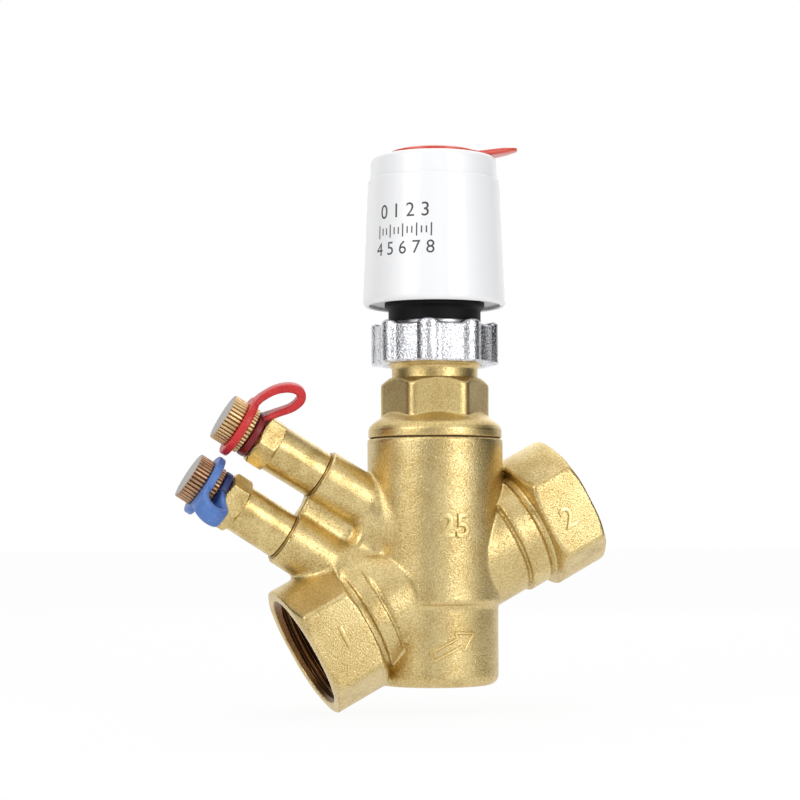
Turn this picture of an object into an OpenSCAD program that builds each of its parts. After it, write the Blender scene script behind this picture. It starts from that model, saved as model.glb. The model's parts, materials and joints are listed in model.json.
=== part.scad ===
// Pressure independent control valve: a brass body with a slanted inlet and outlet, a
// differential pressure regulator and a preset control cartridge inside it, two test plugs
// with strapped caps, and a thermal actuator held on the bonnet by a union nut.
// Millimetres. +Z runs up the stem. The ports' axis lies in the XZ plane, and the origin is
// the point where it crosses the stem's axis. -X is the inlet's side.

/* [Pipe ports] */
// Slope of the ports' axis above the horizontal, in degrees
port_slope = 28.5; // [26:0.5:32]
// Stem axis to the inlet's end face, along the ports' axis
inlet_reach = 45.7; // [44:0.1:52]
// Stem axis to the outlet's end face, along the ports' axis
outlet_reach = 47.4; // [46:0.1:56]
// Inside diameter of the parallel pipe thread in both ports
pipe_thread_d = 30.3; // [28:0.1:31]
// Length of the pipe thread behind its lead-in
pipe_thread_length = 14; // [12:0.5:15]
// Mouth diameter of the thread's lead-in
lead_in_d = 34; // [32:0.1:36]
// Depth of the thread's lead-in
lead_in_depth = 2; // [1:0.1:3]
// Width across the flats of the ports' hexagons
port_flats = 40.4; // [39:0.2:42]
// Length of the inlet's hexagon
inlet_hex_length = 17; // [14:0.1:18]
// Length of the outlet's hexagon
outlet_hex_length = 15.4; // [12:0.1:17]
// Diameter of the round ring behind each hexagon
port_ring_d = 35.4; // [34.8:0.1:37]
// Length of the inlet's ring
inlet_ring_length = 4.8; // [3:0.1:5.5]
// Length of the outlet's ring
outlet_ring_length = 6.4; // [4:0.1:7]
// Diameter of the necks between the rings and the body
port_neck_d = 33.6; // [33:0.1:34.5]
// Diameter of the water passage behind each thread
passage_d = 17; // [14:0.5:17]

/* [Body] */
// Origin up to the body's top face
body_rise = 40.6; // [40:0.2:48]
// Origin down to the ledge where the lower part begins
ledge_drop = 7.6; // [6:0.2:9]
// Origin down to the body's bottom
body_drop = 31.9; // [31:0.1:36]
// Fillet of the bottom edge
bottom_fillet = 3; // [1:0.2:4]
// Bore of the upper chamber, which takes the cartridge
upper_chamber_d = 32.6; // [32:0.2:34]
// Wall round the upper chamber
upper_wall = 3.7; // [3.2:0.1:5]
// Bore of the lower chamber, which takes the regulator
lower_chamber_d = 29; // [28:0.2:30]
// Wall round the lower chamber
lower_wall = 4.1; // [3.4:0.1:5]
// Thickness of the wall under the lower chamber
floor_wall = 4.4; // [3:0.2:5]
// Thickness of the partition between the chambers
partition = 6; // [5:0.2:7]
// Height of the raised flow arrow
arrow_relief = 0.5; // [0.3:0.1:0.8]

/* [Test plugs] */
// Slope of the upper test plug above the horizontal, in degrees
upper_plug_slope = 31; // [30:0.2:32]
// Slope of the lower test plug above the horizontal, in degrees
lower_plug_slope = 32.6; // [31.6:0.2:33]
// Height where the upper plug's axis meets the stem's axis
upper_plug_rise = 8.5; // [7.5:0.1:9.5]
// Drop where the lower plug's axis meets the stem's axis
lower_plug_drop = 17.3; // [16.5:0.1:18]
// Stem axis to the end of the upper boss, along the plug
upper_boss_reach = 41; // [38:0.5:46]
// Stretch of the lower boss that stands out past the inlet's hexagon
lower_boss_stand_out = 5.6; // [4:0.1:9]
// Diameter of the cast bosses
boss_d = 16.6; // [15:0.1:17]
// Thickness of the web between the bosses
web_thickness = 4.6; // [3:0.2:7]
// Diameter of the plugs' tubes
plug_tube_d = 14.1; // [13:0.1:15]
// Length of the plugs' tubes
plug_tube_length = 15.2; // [12:0.2:20]
// Width across the flats of the plugs' hexagons
plug_flats = 14.4; // [13.6:0.1:15]
// Length of the plugs' hexagons
plug_hex_length = 6.1; // [5:0.1:8]
// Diameter of the threaded neck that a cap screws on
plug_neck_d = 9; // [8:0.1:9.6]
// Length of that neck
plug_neck_length = 9.7; // [9:0.1:12]
// Diameter of the threaded spigot in the boss
spigot_d = 10; // [9:0.1:11]
// Length of that spigot
spigot_length = 10; // [8:0.5:10]
// Needle hole through the plug
needle_hole_d = 2.6; // [2:0.1:3]
// Outside diameter of the knurled caps
cap_d = 14.1; // [13.6:0.1:15]
// Length of the caps
cap_length = 8.4; // [8:0.1:10]
// Outside diameter of the strap's ring on the cap
cap_ring_d = 19; // [17:0.2:20]
// Outside diameter of the strap's ring on the plug's neck
neck_ring_d = 14; // [12:0.1:15]
// Thickness of the strap
strap_thickness = 2.2; // [1.6:0.1:2.4]
// Height of the red strap's loop above its rings
upper_strap_reach = 20.2; // [18:0.2:22]
// Height of the blue strap's loop above its rings
lower_strap_reach = 18.6; // [17:0.2:20]

/* [Bonnet] */
// Thickness of the fibre gasket under the bonnet
gasket_thickness = 0.4; // [0.3:0.1:1]
// Step of the bonnet's flange inside the body's top edge
flange_step = 0.3; // [0:0.1:1]
// Height of the flange
flange_height = 3.8; // [3:0.2:5]
// Height of the shoulder between flange and hexagon
shoulder_height = 3; // [2:0.2:4]
// Width across the flats of the bonnet's hexagon
bonnet_flats = 28.6; // [27:0.1:30]
// Height of the hexagon
bonnet_hex_height = 10.6; // [9:0.2:14]
// Diameter of the round neck above the hexagon
bonnet_neck_d = 25.4; // [24:0.1:27]
// Height of the round neck
bonnet_neck_height = 4.4; // [4:0.2:7]
// Mean diameter of the thread that the union nut runs on
actuator_thread_d = 29; // [28.8:0.1:29.6]
// Height of that thread
actuator_thread_height = 7.4; // [7:0.2:10]
// Diameter of the presetting spindle inside the bonnet
spindle_d = 13; // [12:0.1:14]

/* [Cartridge] */
// Bore of the seat ring
seat_d = 15; // [12:0.5:16]
// Diameter of the stem
stem_d = 4; // [3.6:0.1:4.4]
// Travel of the stem and of the actuator's plunger
stem_travel = 4; // [3:0.1:4]
// Travel of the regulator's cup
regulator_travel = 3; // [2:0.1:3]
// Outside diameter of the regulator's cup
cup_d = 23.6; // [22:0.2:24]

/* [Union nut] */
// Diameter over the nut's grips
nut_d = 37.8; // [37:0.2:40]
// Thickness of the nut's shoulder over the adapter
nut_shoulder_thickness = 2.6; // [1.5:0.1:3]
// Number of grips round the nut
nut_grips = 8; // [6:1:10]
// Width of one grip
grip_width = 7.4; // [6:0.1:8]
// Depth of the valleys between the grips
grip_depth = 1.4; // [1:0.1:1.6]

/* [Actuator] */
// Diameter of the black collar over the nut
collar_d = 27.3; // [26.5:0.1:30]
// Height of that collar
collar_height = 4.7; // [3:0.1:6]
// Bottom diameter of the housing
housing_bottom_d = 42.4; // [41:0.2:44]
// How much the housing's radius narrows from bottom to top
housing_taper = 1.9; // [1:0.1:2.4]
// Height of the housing with its top cover
housing_height = 43.8; // [43:0.2:50]
// Height of the top cover above its seam
cover_height = 6.8; // [5:0.2:8]
// Wall of the housing and of the top cover
housing_wall = 1.8; // [1.4:0.1:2.2]
// Step of the top cover inside the housing's taper
cover_step = 0.6; // [0.2:0.1:1]
// Diameter of the wax element
wax_d = 14; // [12:0.5:16]
// Room between the wax element and the cover, for the heater and the travel
wax_headroom = 11.3; // [10:0.1:15]
// Bore of the cable inlet
cable_bore_d = 5.2; // [4:0.1:6]
// Diameter of the red lever's disc
lever_d = 27; // [24:0.5:29]
// Thickness of the lever
lever_thickness = 1.8; // [1.2:0.1:2]
// Stem axis to the lever's tip
lever_reach = 25.8; // [22:0.2:30]

/* [Hidden] */
$fn = 64;

// Clearances: between fixed pieces, round running pieces, and between faces
fixed_gap = 0.03;
run_gap = 0.06;
face_gap = 0.1;
// Overrun of every cut
cut = 1;

// Ports
hex_sides = 6;
half_side_angle = 180 / hex_sides;
corner_share = 1 / cos(half_side_angle);
port_r = port_flats / 2;
port_corner_r = port_r * corner_share;
crown_steps = 8;
port_groove_length = 2.2;
port_groove_depth = 0.7;
port_groove_d = port_ring_d - 2 * port_groove_depth;
thin_groove_length = 1.1;
thin_groove_depth = 0.45;
thin_groove_d = port_neck_d - 2 * thin_groove_depth;
port_face_step = 0.3;
port_chamfer_r = port_r + port_face_step;
port_chamfer_height = (port_corner_r - port_chamfer_r) * tan(half_side_angle);
// A passage lies off the ports' axis, so that it reaches its own chamber only
passage_shift = 4.5;
passage_end = 13;

// Body levels
upper_r = upper_chamber_d / 2 + upper_wall;
lower_r = lower_chamber_d / 2 + lower_wall;
body_top = body_rise;
ledge = -ledge_drop;
body_bottom = -body_drop;
chamber_floor = body_bottom + floor_wall;
partition_top = partition / 2;
partition_bottom = -partition / 2;
ledge_chamfer = 0.8;
arc_steps = 6;
arrow_length = 14.4;
arrow_shaft = 2.6;
arrow_head = 6.2;
arrow_head_length = 5.4;
arrow_level = -19.5;

// Test plugs: levels are measured along the plug from the end of its boss
spigot_room = 1;
plug_thread_hole_depth = spigot_length + spigot_room;
tapping_d = 3;
washer_thickness = 0.5;
washer_step = 0.7;
washer_d = boss_d - 2 * washer_step;
// The lower boss leaves the inlet's hexagon where its under side clears the hexagon's corners
boss_to_port = port_slope + lower_plug_slope;
lower_boss_reach = lower_boss_stand_out + (port_corner_r + lower_plug_drop * cos(port_slope)
    + boss_d / 2 * cos(boss_to_port)) / sin(boss_to_port);
tube_start = washer_thickness;
plug_hex_start = tube_start + plug_tube_length;
plug_neck_start = plug_hex_start + plug_hex_length;
plug_neck_end = plug_neck_start + plug_neck_length;
neck_ring_gap = 0.3;
neck_ring_start = plug_neck_start + neck_ring_gap;
cap_gap = 0.4;
cap_start = neck_ring_start + strap_thickness + cap_gap;
cap_end = cap_start + cap_length;
cap_skirt = 1.6;
cap_groove = strap_thickness + 2 * face_gap;
cap_groove_depth = 1.2;
cap_groove_d = cap_d - 2 * cap_groove_depth;
cap_ring_start = cap_start + cap_skirt + face_gap;
knurl_teeth = 36;
knurl_depth = 0.5;
cap_lift = 6;
core_d = 5;
core_length = 7;
loop_width = 10;
loop_slot = 2.6;
loop_shift = 0.6;
upper_loop_lean = 31;
lower_loop_lean = 14;
loop_steps = 10;
loop_depth = 3.2;
upper_loop_turn = 0;
lower_loop_turn = -120;
upper_plug_turn = 16;
lower_plug_turn = -1;

// Bonnet levels
bonnet_bottom = body_top + gasket_thickness;
flange_top = bonnet_bottom + flange_height;
shoulder_top = flange_top + shoulder_height;
bonnet_hex_top = shoulder_top + bonnet_hex_height;
neck_top = bonnet_hex_top + bonnet_neck_height;
bonnet_top = neck_top + actuator_thread_height;
bonnet_spigot = 8;
bonnet_spigot_d = upper_chamber_d - 2 * fixed_gap;
bonnet_spigot_wall = 4.3;
bonnet_cavity_d = upper_chamber_d - 2 * bonnet_spigot_wall;
bonnet_cavity_rise = 2;
bonnet_cavity_top = bonnet_bottom + bonnet_cavity_rise;
bonnet_hex_turn = -12.3;
bonnet_corner_cut = 0.51;
bonnet_turned_d = bonnet_flats * corner_share - 2 * bonnet_corner_cut;
flange_d = 2 * (upper_r - flange_step);
gasket_step = 0.5;
bonnet_hex_chamfer = 2.4;
flange_round = 0.8;
oring_wire = 1.8;
oring_depth = 4;
oring_level = body_top - oring_depth;
spindle_step = 8;
stem_tube_d = 9;

// Cartridge levels
seat_wall = 2.5;
seat_bore_d = seat_d + 2 * seat_wall;
seat_flange_height = 2;
seat_flange_top = partition_top + seat_flange_height;
seat_ring_lip = 1;
seat_ring_bottom = partition_bottom - seat_ring_lip;
regulator_d = lower_chamber_d - 2 * face_gap;
guide_base = 2;
guide_post_d = 5;
guide_rim = 3.2;
guide_rim_wall = 1.5;
diaphragm_thickness = 0.8;
diaphragm_level = chamber_floor + guide_base + guide_rim;
clamp_height = 1.6;
cup_bottom = diaphragm_level + diaphragm_thickness + face_gap;
cup_web = 1.6;
cup_wall = 1.2;
cup_room = 1;
cup_top = partition_bottom - regulator_travel - cup_room;
sleeve_bottom = seat_flange_top + face_gap;
sleeve_height = 10;
sleeve_web = 1.4;
sleeve_wall = 1.5;
sleeve_room = 0.8;
sleeve_window = 7;
plug_disc_rim = 1.7;
plug_disc_d = seat_d + 2 * plug_disc_rim;
sleeve_d = plug_disc_d + 2 * (sleeve_room + sleeve_wall);
seat_flange_rim = 1.5;
seat_flange_d = sleeve_d + 2 * seat_flange_rim;
plug_seal_thickness = 1.6;
plug_disc_height = 2.4;
seal_gap = 0.05;
plug_bottom = seat_flange_top + seal_gap;
stem_bottom = plug_bottom + plug_seal_thickness;
stem_stand_out = 4;
stem_top = bonnet_top + stem_stand_out;
stem_head_d = 8;
stem_head_height = 2;
spring_pocket_d = 8.6;
spring_pocket_depth = 7;
spring_pocket_bottom = bonnet_top - spring_pocket_depth;
spring_wire = 1;
spring_room = 0.25;
dial_height = 2.4;
spindle_top = bonnet_top + face_gap;
seal_wire = 1.5;
seal_depth = 2;
seal_level = neck_top - seal_depth;

// Actuator levels
adapter_bottom = bonnet_top + face_gap;
adapter_flange_height = 2;
adapter_flange_d = 27.8;
adapter_d = 24.4;
adapter_bore_d = 20.4;
dial_room = 0.7;
dial_d = adapter_bore_d - 2 * dial_room;
nut_overlap = 0.4;
nut_bottom = neck_top - nut_overlap;
nut_shoulder = adapter_bottom + adapter_flange_height + face_gap;
nut_top = nut_shoulder + nut_shoulder_thickness;
nut_height = nut_top - nut_bottom;
nut_bore_d = actuator_thread_d + 2 * run_gap;
nut_valley_d = nut_d - 2 * grip_depth;
nut_chamfer = 1;
collar_bottom = nut_top + 2 * face_gap;
collar_top = collar_bottom + collar_height;
collar_lip = 1;
collar_lip_width = 1.1;
collar_lip_d = collar_d + 2 * collar_lip_width;
housing_bottom = collar_top - face_gap;
housing_top = housing_bottom + housing_height;
seam = housing_top - cover_height;
collar_stand_in = 1;
base_disc_bottom = collar_top + collar_stand_in;
base_disc_height = 3;
base_disc_top = base_disc_bottom + base_disc_height;
bridge_post_height = 2;
bridge_bottom = base_disc_top + bridge_post_height;
bridge_height = 2;
bridge_top = bridge_bottom + bridge_height;
bridge_width = 3.6;
bridge_room = 1;
bridge_length = 2 * (housing_r(bridge_top) - housing_wall - bridge_room);
bridge_post_length = 3;
bridge_pin_d = 3;
plunger_d = 10;
plunger_bottom = stem_top + seal_gap;
plunger_room = 0.2;
plunger_top = bridge_top + stem_travel + plunger_room;
slot_bottom = bridge_bottom - stem_travel - plunger_room;
slot_top = bridge_top + plunger_room;
cover_wall = 2.2;
cover_ceiling = housing_top - cover_wall;
wax_flange_height = 1.5;
wax_bottom = plunger_top;
wax_top = cover_ceiling - wax_headroom;
wax_height = wax_top - wax_bottom;
// Share of the wax element that the bridge's pin reaches up into
wax_pin_share = 0.32;
bridge_pin_height = stem_travel + plunger_room + wax_height * wax_pin_share;
wax_bore_depth = bridge_pin_height;
heater_step = 2;
heater_d = wax_d - 2 * heater_step;
heater_height = 1.8;
closing_wire = 2;
closing_room = 2.9;
closing_mean_d = 2 * (housing_r(seam) - 2 * housing_wall - closing_room) - closing_wire;
wax_flange_rim = 0.5;
wax_flange_d = closing_mean_d + closing_wire + 2 * wax_flange_rim;
cover_spigot = 3;
housing_lip = 0.6;
cover_round = 1.2;
lever_bottom = housing_top + face_gap;
lever_dome = 0.6;
lever_pin_d = 3;
lever_head_d = 6;
lever_head_height = 0.8;
lever_tab_width = 10;
lever_tab_rise = 2.8;
lever_tab_end = 4.5;
inlet_rise = 6;
inlet_level = base_disc_top + inlet_rise;
inlet_flange_d = 9;
inlet_tube_d = 7.4;
inlet_stand_out = 1.6;
inlet_flange_gap = 0.3;
inlet_inside = 2.2;

// Radius of the housing's outside at a height
function housing_r(z) =
    housing_bottom_d / 2 - housing_taper * (z - housing_bottom) / housing_height;

// Points on an arc about a centre, from one angle to another
function arc(centre, r, from, to, steps) =
    [for (i = [0:steps]) let (a = from + (to - from) * i / steps) centre + r * [cos(a), sin(a)]];

// Puts its children on the inlet's or outlet's axis, with +Z out of the port
module on_inlet() { rotate([0, 270 - port_slope, 0]) children(); }
module on_outlet() { rotate([0, 90 - port_slope, 0]) children(); }

// Puts its children at the end of a test plug's boss, with +Z out along the plug
module on_plug(slope, rise, reach) {
    translate([0, 0, rise]) rotate([0, slope - 90, 0]) translate([0, 0, reach]) children();
}
module on_upper_plug() {
    on_plug(upper_plug_slope, upper_plug_rise, upper_boss_reach) children();
}
module on_lower_plug() {
    on_plug(lower_plug_slope, -lower_plug_drop, lower_boss_reach) children();
}

// A round piece with a bore, standing on the given level
module tube(level, height, outer_d, bore_d) {
    translate([0, 0, level]) difference() {
        cylinder(d = outer_d, h = height);
        translate([0, 0, -cut]) cylinder(d = bore_d, h = height + 2 * cut);
    }
}

// A rubber ring of round section
module oring(level, inner_d, wire) {
    translate([0, 0, level]) rotate_extrude()
        translate([inner_d / 2 + wire / 2, 0]) circle(d = wire, $fn = 24);
}

// A hexagonal prism with both ends chamfered, standing on the given level
module hex_prism(level, height, flats, turn) {
    corner = flats / 2 * corner_share;
    chamfer_r = flats / 2 + (corner - flats / 2) / 4;
    chamfer = (corner - chamfer_r) * tan(half_side_angle);
    translate([0, 0, level]) intersection() {
        rotate([0, 0, turn]) cylinder(r = corner, h = height, $fn = hex_sides);
        rotate_extrude() polygon([
            [0, 0], [chamfer_r, 0], [corner, chamfer], [corner, height - chamfer],
            [chamfer_r, height], [0, height]
        ]);
    }
}

// A coil spring as one unbroken wire, with a ring of points 8 times a turn
module coil(bottom, top, mean_d, wire, turns) {
    rings_per_turn = 8;
    sides = 6;
    rings = turns * rings_per_turn;
    low = bottom + wire / 2;
    climb = top - bottom - wire;
    slope = atan(climb / (turns * PI * mean_d));
    function ring_point(i, j) = let (
            turn = 360 * i / rings_per_turn,
            around = 360 * j / sides,
            out = mean_d / 2 + wire / 2 * cos(around),
            side = -wire / 2 * sin(around) * sin(slope),
            up = wire / 2 * sin(around) * cos(slope))
        [out * cos(turn) - side * sin(turn), out * sin(turn) + side * cos(turn),
            low + climb * i / rings + up];
    points = [for (i = [0:rings]) for (j = [0:sides - 1]) ring_point(i, j)];
    skin = [for (i = [0:rings - 1]) for (j = [0:sides - 1]) for (half = [0, 1])
        let (a = i * sides + j, b = i * sides + (j + 1) % sides)
            half == 0 ? [a, a + sides, b] : [b, a + sides, b + sides]];
    start = [for (j = [0:sides - 1]) j];
    end = [for (j = [sides - 1:-1:0]) rings * sides + j];
    polyhedron(points, concat(skin, [start, end]));
}

// Outline of a port's end: flats to the front and back, crowns above and below
module port_outline() {
    half_flat = port_r * tan(half_side_angle);
    crown = arc([0, 0], port_r, -half_side_angle, half_side_angle, crown_steps);
    polygon(concat(
        [[half_flat, -port_r]], crown, [[half_flat, port_r]],
        [[-half_flat, port_r]], -crown, [[-half_flat, -port_r]]
    ));
}

// Outside of one port, from the stem's axis to its end face
module port_outside(reach, hex_length, ring_length) {
    hex_start = reach - hex_length;
    ring_end = hex_start - port_groove_length;
    ring_start = ring_end - ring_length;
    neck_end = ring_start - thin_groove_length;
    rotate_extrude() polygon([
        [0, 0], [port_neck_d / 2, 0], [port_neck_d / 2, neck_end],
        [thin_groove_d / 2, neck_end], [thin_groove_d / 2, ring_start],
        [port_ring_d / 2, ring_start], [port_ring_d / 2, ring_end],
        [port_groove_d / 2, ring_end], [port_groove_d / 2, hex_start + cut], [0, hex_start + cut]
    ]);
    translate([0, 0, hex_start]) intersection() {
        linear_extrude(hex_length) port_outline();
        rotate_extrude() polygon([
            [0, 0], [port_chamfer_r, 0], [port_corner_r, port_chamfer_height],
            [port_corner_r, hex_length - port_chamfer_height], [port_chamfer_r, hex_length],
            [0, hex_length]
        ]);
    }
}

// Thread bore, lead-in and water passage of one port
module port_inside(reach) {
    thread_start = reach - lead_in_depth - pipe_thread_length;
    translate([0, 0, thread_start])
        cylinder(d = pipe_thread_d, h = pipe_thread_length + lead_in_depth + cut);
    translate([0, 0, reach - lead_in_depth])
        cylinder(d1 = pipe_thread_d, d2 = lead_in_d, h = lead_in_depth);
    translate([0, 0, reach]) cylinder(d = lead_in_d, h = cut);
    translate([-passage_shift, 0, passage_end])
        cylinder(d = passage_d, h = thread_start - passage_end + cut);
}

// Threaded hole of a test plug, with the tapping that leads on to the given distance
module plug_hole(slope, rise, reach, tapping_end) {
    on_plug(slope, rise, reach) {
        translate([0, 0, -plug_thread_hole_depth])
            cylinder(d = spigot_d, h = plug_thread_hole_depth + cut);
        translate([0, 0, tapping_end - reach])
            cylinder(d = tapping_d, h = reach - tapping_end - plug_thread_hole_depth + cut);
    }
}

// Raised arrow on the front of the lower part, parallel to the ports
module flow_arrow() {
    half = arrow_length / 2;
    neck = half - arrow_head_length;
    intersection() {
        translate([0, 0, arrow_level]) rotate([90, -port_slope, 0])
            translate([0, 0, lower_r / 2]) linear_extrude(lower_r) polygon([
                [-half, -arrow_shaft / 2], [neck, -arrow_shaft / 2], [neck, -arrow_head / 2],
                [half, 0], [neck, arrow_head / 2], [neck, arrow_shaft / 2],
                [-half, arrow_shaft / 2]
            ]);
        translate([0, 0, body_bottom]) cylinder(r = lower_r + arrow_relief, h = body_drop);
    }
}

module body_casting() {
    color("goldenrod") difference() {
        union() {
            rotate_extrude() polygon(concat(
                [[0, body_bottom]],
                arc([lower_r - bottom_fillet, body_bottom + bottom_fillet],
                    bottom_fillet, -90, 0, arc_steps),
                [[lower_r, ledge], [upper_r - ledge_chamfer, ledge],
                    [upper_r, ledge + ledge_chamfer], [upper_r, body_top], [0, body_top]]
            ));
            on_inlet() port_outside(inlet_reach, inlet_hex_length, inlet_ring_length);
            on_outlet() port_outside(outlet_reach, outlet_hex_length, outlet_ring_length);
            on_upper_plug() translate([0, 0, -upper_boss_reach])
                cylinder(d = boss_d, h = upper_boss_reach);
            on_lower_plug() translate([0, 0, -lower_boss_reach])
                cylinder(d = boss_d, h = lower_boss_reach);
            boss_web();
            flow_arrow();
        }
        translate([0, 0, partition_top])
            cylinder(d = upper_chamber_d, h = body_top - partition_top + cut);
        translate([0, 0, chamber_floor])
            cylinder(d = lower_chamber_d, h = partition_bottom - chamber_floor);
        translate([0, 0, partition_bottom - cut])
            cylinder(d = seat_bore_d, h = partition + 2 * cut);
        on_inlet() port_inside(inlet_reach);
        on_outlet() port_inside(outlet_reach);
        plug_hole(upper_plug_slope, upper_plug_rise, upper_boss_reach, upper_chamber_d / 2);
        plug_hole(lower_plug_slope, -lower_plug_drop, lower_boss_reach, lower_chamber_d / 2);
    }
}

// Flat web that joins the two bosses, from inside the body out to their ends
module boss_web() {
    spread = (upper_plug_rise + lower_plug_drop) * cos(lower_plug_slope);
    length = upper_boss_reach - upper_r / 2;
    on_upper_plug() translate([-spread, -web_thickness / 2, -length - cut])
        cube([spread, web_thickness, length]);
}

module bonnet() {
    flat_r = bonnet_flats / 2;
    rim_r = flange_d / 2 - flange_round;
    shoulder_slope = shoulder_height / (rim_r - flat_r);
    hex_height = shoulder_height + bonnet_hex_height;
    color("gold") difference() {
        union() {
            translate([0, 0, body_top - bonnet_spigot])
                cylinder(d = bonnet_spigot_d, h = bonnet_spigot + gasket_thickness + cut);
            translate([0, 0, bonnet_bottom]) rotate_extrude() polygon([
                [0, 0], [flange_d / 2, 0], [flange_d / 2, flange_height - flange_round],
                [rim_r, flange_height],
                [flat_r - cut, flange_height + (rim_r - flat_r + cut) * shoulder_slope],
                [0, flange_height + (rim_r - flat_r + cut) * shoulder_slope]
            ]);
            translate([0, 0, flange_top]) intersection() {
                rotate(bonnet_hex_turn)
                    cylinder(r = flat_r * corner_share, h = hex_height, $fn = hex_sides);
                rotate_extrude() polygon([
                    [0, 0], [bonnet_turned_d / 2, 0],
                    [bonnet_turned_d / 2, hex_height - bonnet_hex_chamfer],
                    [flat_r - flange_round, hex_height], [0, hex_height]
                ]);
            }
            translate([0, 0, bonnet_hex_top - cut])
                cylinder(d = bonnet_neck_d, h = bonnet_neck_height + 2 * cut);
            translate([0, 0, neck_top])
                cylinder(d = actuator_thread_d, h = actuator_thread_height);
        }
        translate([0, 0, body_top - bonnet_spigot - cut])
            cylinder(d = bonnet_cavity_d, h = bonnet_cavity_top - body_top + bonnet_spigot + cut);
        translate([0, 0, bonnet_cavity_top - cut])
            cylinder(d = stem_tube_d + 2 * run_gap, h = bonnet_top - bonnet_cavity_top + 2 * cut);
        translate([0, 0, bonnet_top - spindle_step])
            cylinder(d = spindle_d + 2 * run_gap, h = spindle_step + cut);
        // Groove of the ring that seals the bonnet in the body
        tube(oring_level - oring_wire / 2 - face_gap, oring_wire + 2 * face_gap,
            upper_chamber_d + cut, upper_chamber_d - 2 * oring_wire - 4 * fixed_gap);
        // Groove of the ring that seals the spindle
        translate([0, 0, seal_level - seal_wire / 2 - face_gap])
            cylinder(d = stem_tube_d + 2 * seal_wire + 4 * run_gap, h = seal_wire + 2 * face_gap);
    }
}

module bonnet_gasket() {
    color("dimgray") tube(body_top + fixed_gap, gasket_thickness - 2 * fixed_gap,
        flange_d - 2 * gasket_step, upper_chamber_d + 2 * fixed_gap);
}

module bonnet_oring() {
    color("black") oring(oring_level, upper_chamber_d - 2 * oring_wire - 2 * fixed_gap, oring_wire);
}

module seat_ring() {
    color("khaki") difference() {
        union() {
            translate([0, 0, seat_ring_bottom])
                cylinder(d = seat_bore_d - 2 * fixed_gap, h = seat_flange_top - seat_ring_bottom);
            translate([0, 0, partition_top + fixed_gap])
                cylinder(d = seat_flange_d, h = seat_flange_top - partition_top - fixed_gap);
        }
        translate([0, 0, seat_ring_bottom - cut])
            cylinder(d = seat_d, h = seat_flange_top - seat_ring_bottom + 2 * cut);
    }
}

// Fixed base of the regulator, with the post that its cup slides on
module regulator_guide() {
    color("khaki") {
        translate([0, 0, chamber_floor + fixed_gap])
            cylinder(d = regulator_d, h = guide_base - fixed_gap);
        tube(chamber_floor + guide_base / 2, guide_base / 2 + guide_rim - fixed_gap, regulator_d,
            regulator_d - 2 * guide_rim_wall);
        translate([0, 0, chamber_floor + guide_base / 2])
            cylinder(d = guide_post_d, h = cup_top - regulator_travel - chamber_floor);
    }
}

// Rubber ring with one roll, clamped at its rim and carried by the cup at its hole
module diaphragm() {
    roll_r = 1.6;
    roll_centre = cup_d / 2 - roll_r - diaphragm_thickness;
    rim_r = regulator_d / 2;
    hole_r = guide_post_d / 2 + 4 * run_gap;
    top = diaphragm_level + diaphragm_thickness;
    color("black") rotate_extrude() polygon(concat(
        [[hole_r, diaphragm_level]],
        [[roll_centre - roll_r, diaphragm_level]],
        arc([roll_centre, diaphragm_level], roll_r, 180, 360, arc_steps),
        [[rim_r, diaphragm_level], [rim_r, top], [roll_centre + roll_r - diaphragm_thickness, top]],
        arc([roll_centre, diaphragm_level], roll_r - diaphragm_thickness, 360, 180, arc_steps),
        [[roll_centre - roll_r + diaphragm_thickness, top], [hole_r, top]]
    ));
}

module diaphragm_clamp() {
    color("khaki") tube(diaphragm_level + diaphragm_thickness + fixed_gap, clamp_height,
        regulator_d, regulator_d - 2 * guide_rim_wall);
}

// Cup that throttles under the partition, with the hub that slides on the guide's post
module regulator_cup() {
    color("gainsboro") {
        tube(cup_bottom, cup_web, cup_d, guide_post_d + 2 * run_gap);
        tube(cup_bottom, cup_top - cup_bottom, cup_d, cup_d - 2 * cup_wall);
        tube(cup_bottom, cup_web * 4, guide_post_d * 1.8, guide_post_d + 2 * run_gap);
    }
}

module regulator_spring() {
    mean_d = seat_bore_d - 3 * spring_wire;
    color("silver") coil(cup_bottom + cup_web + fixed_gap, seat_ring_bottom - fixed_gap, mean_d,
        spring_wire * 1.4, 4);
}

// Hollow spindle that carries the presetting sleeve and turns in the bonnet
module preset_spindle() {
    tube_bottom = sleeve_bottom + sleeve_height - sleeve_web;
    color("gold") difference() {
        union() {
            translate([0, 0, tube_bottom])
                cylinder(d = stem_tube_d, h = spindle_top - tube_bottom);
            translate([0, 0, bonnet_top - spindle_step + face_gap])
                cylinder(d = spindle_d, h = spindle_step);
        }
        translate([0, 0, tube_bottom - cut])
            cylinder(d = stem_d + 2 * run_gap, h = spindle_top - tube_bottom + 2 * cut);
        translate([0, 0, spring_pocket_bottom])
            cylinder(d = spring_pocket_d, h = spindle_top - spring_pocket_bottom + cut);
        translate([0, 0, spring_pocket_bottom - seal_wire - face_gap])
            cylinder(d = stem_d + 2 * seal_wire + 4 * run_gap, h = seal_wire + face_gap + cut);
    }
}

module preset_dial() {
    color("white") tube(spindle_top + fixed_gap, dial_height, dial_d, spring_pocket_d);
}

// Sleeve with one window: turning it sets how much of the seat's flow passes
module preset_sleeve() {
    bore = stem_tube_d + 2 * fixed_gap;
    web_bottom = sleeve_bottom + sleeve_height - sleeve_web;
    color("gainsboro") difference() {
        union() {
            tube(sleeve_bottom, sleeve_height, sleeve_d, sleeve_d - 2 * sleeve_wall);
            tube(web_bottom, sleeve_web, sleeve_d - sleeve_wall, bore);
        }
        translate([0, -sleeve_d, sleeve_bottom + sleeve_wall])
            cube([sleeve_d, 2 * sleeve_d, sleeve_window - 2 * sleeve_wall]);
    }
}

module spindle_seal() {
    color("black") oring(seal_level, stem_tube_d + 2 * run_gap, seal_wire);
}

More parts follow.
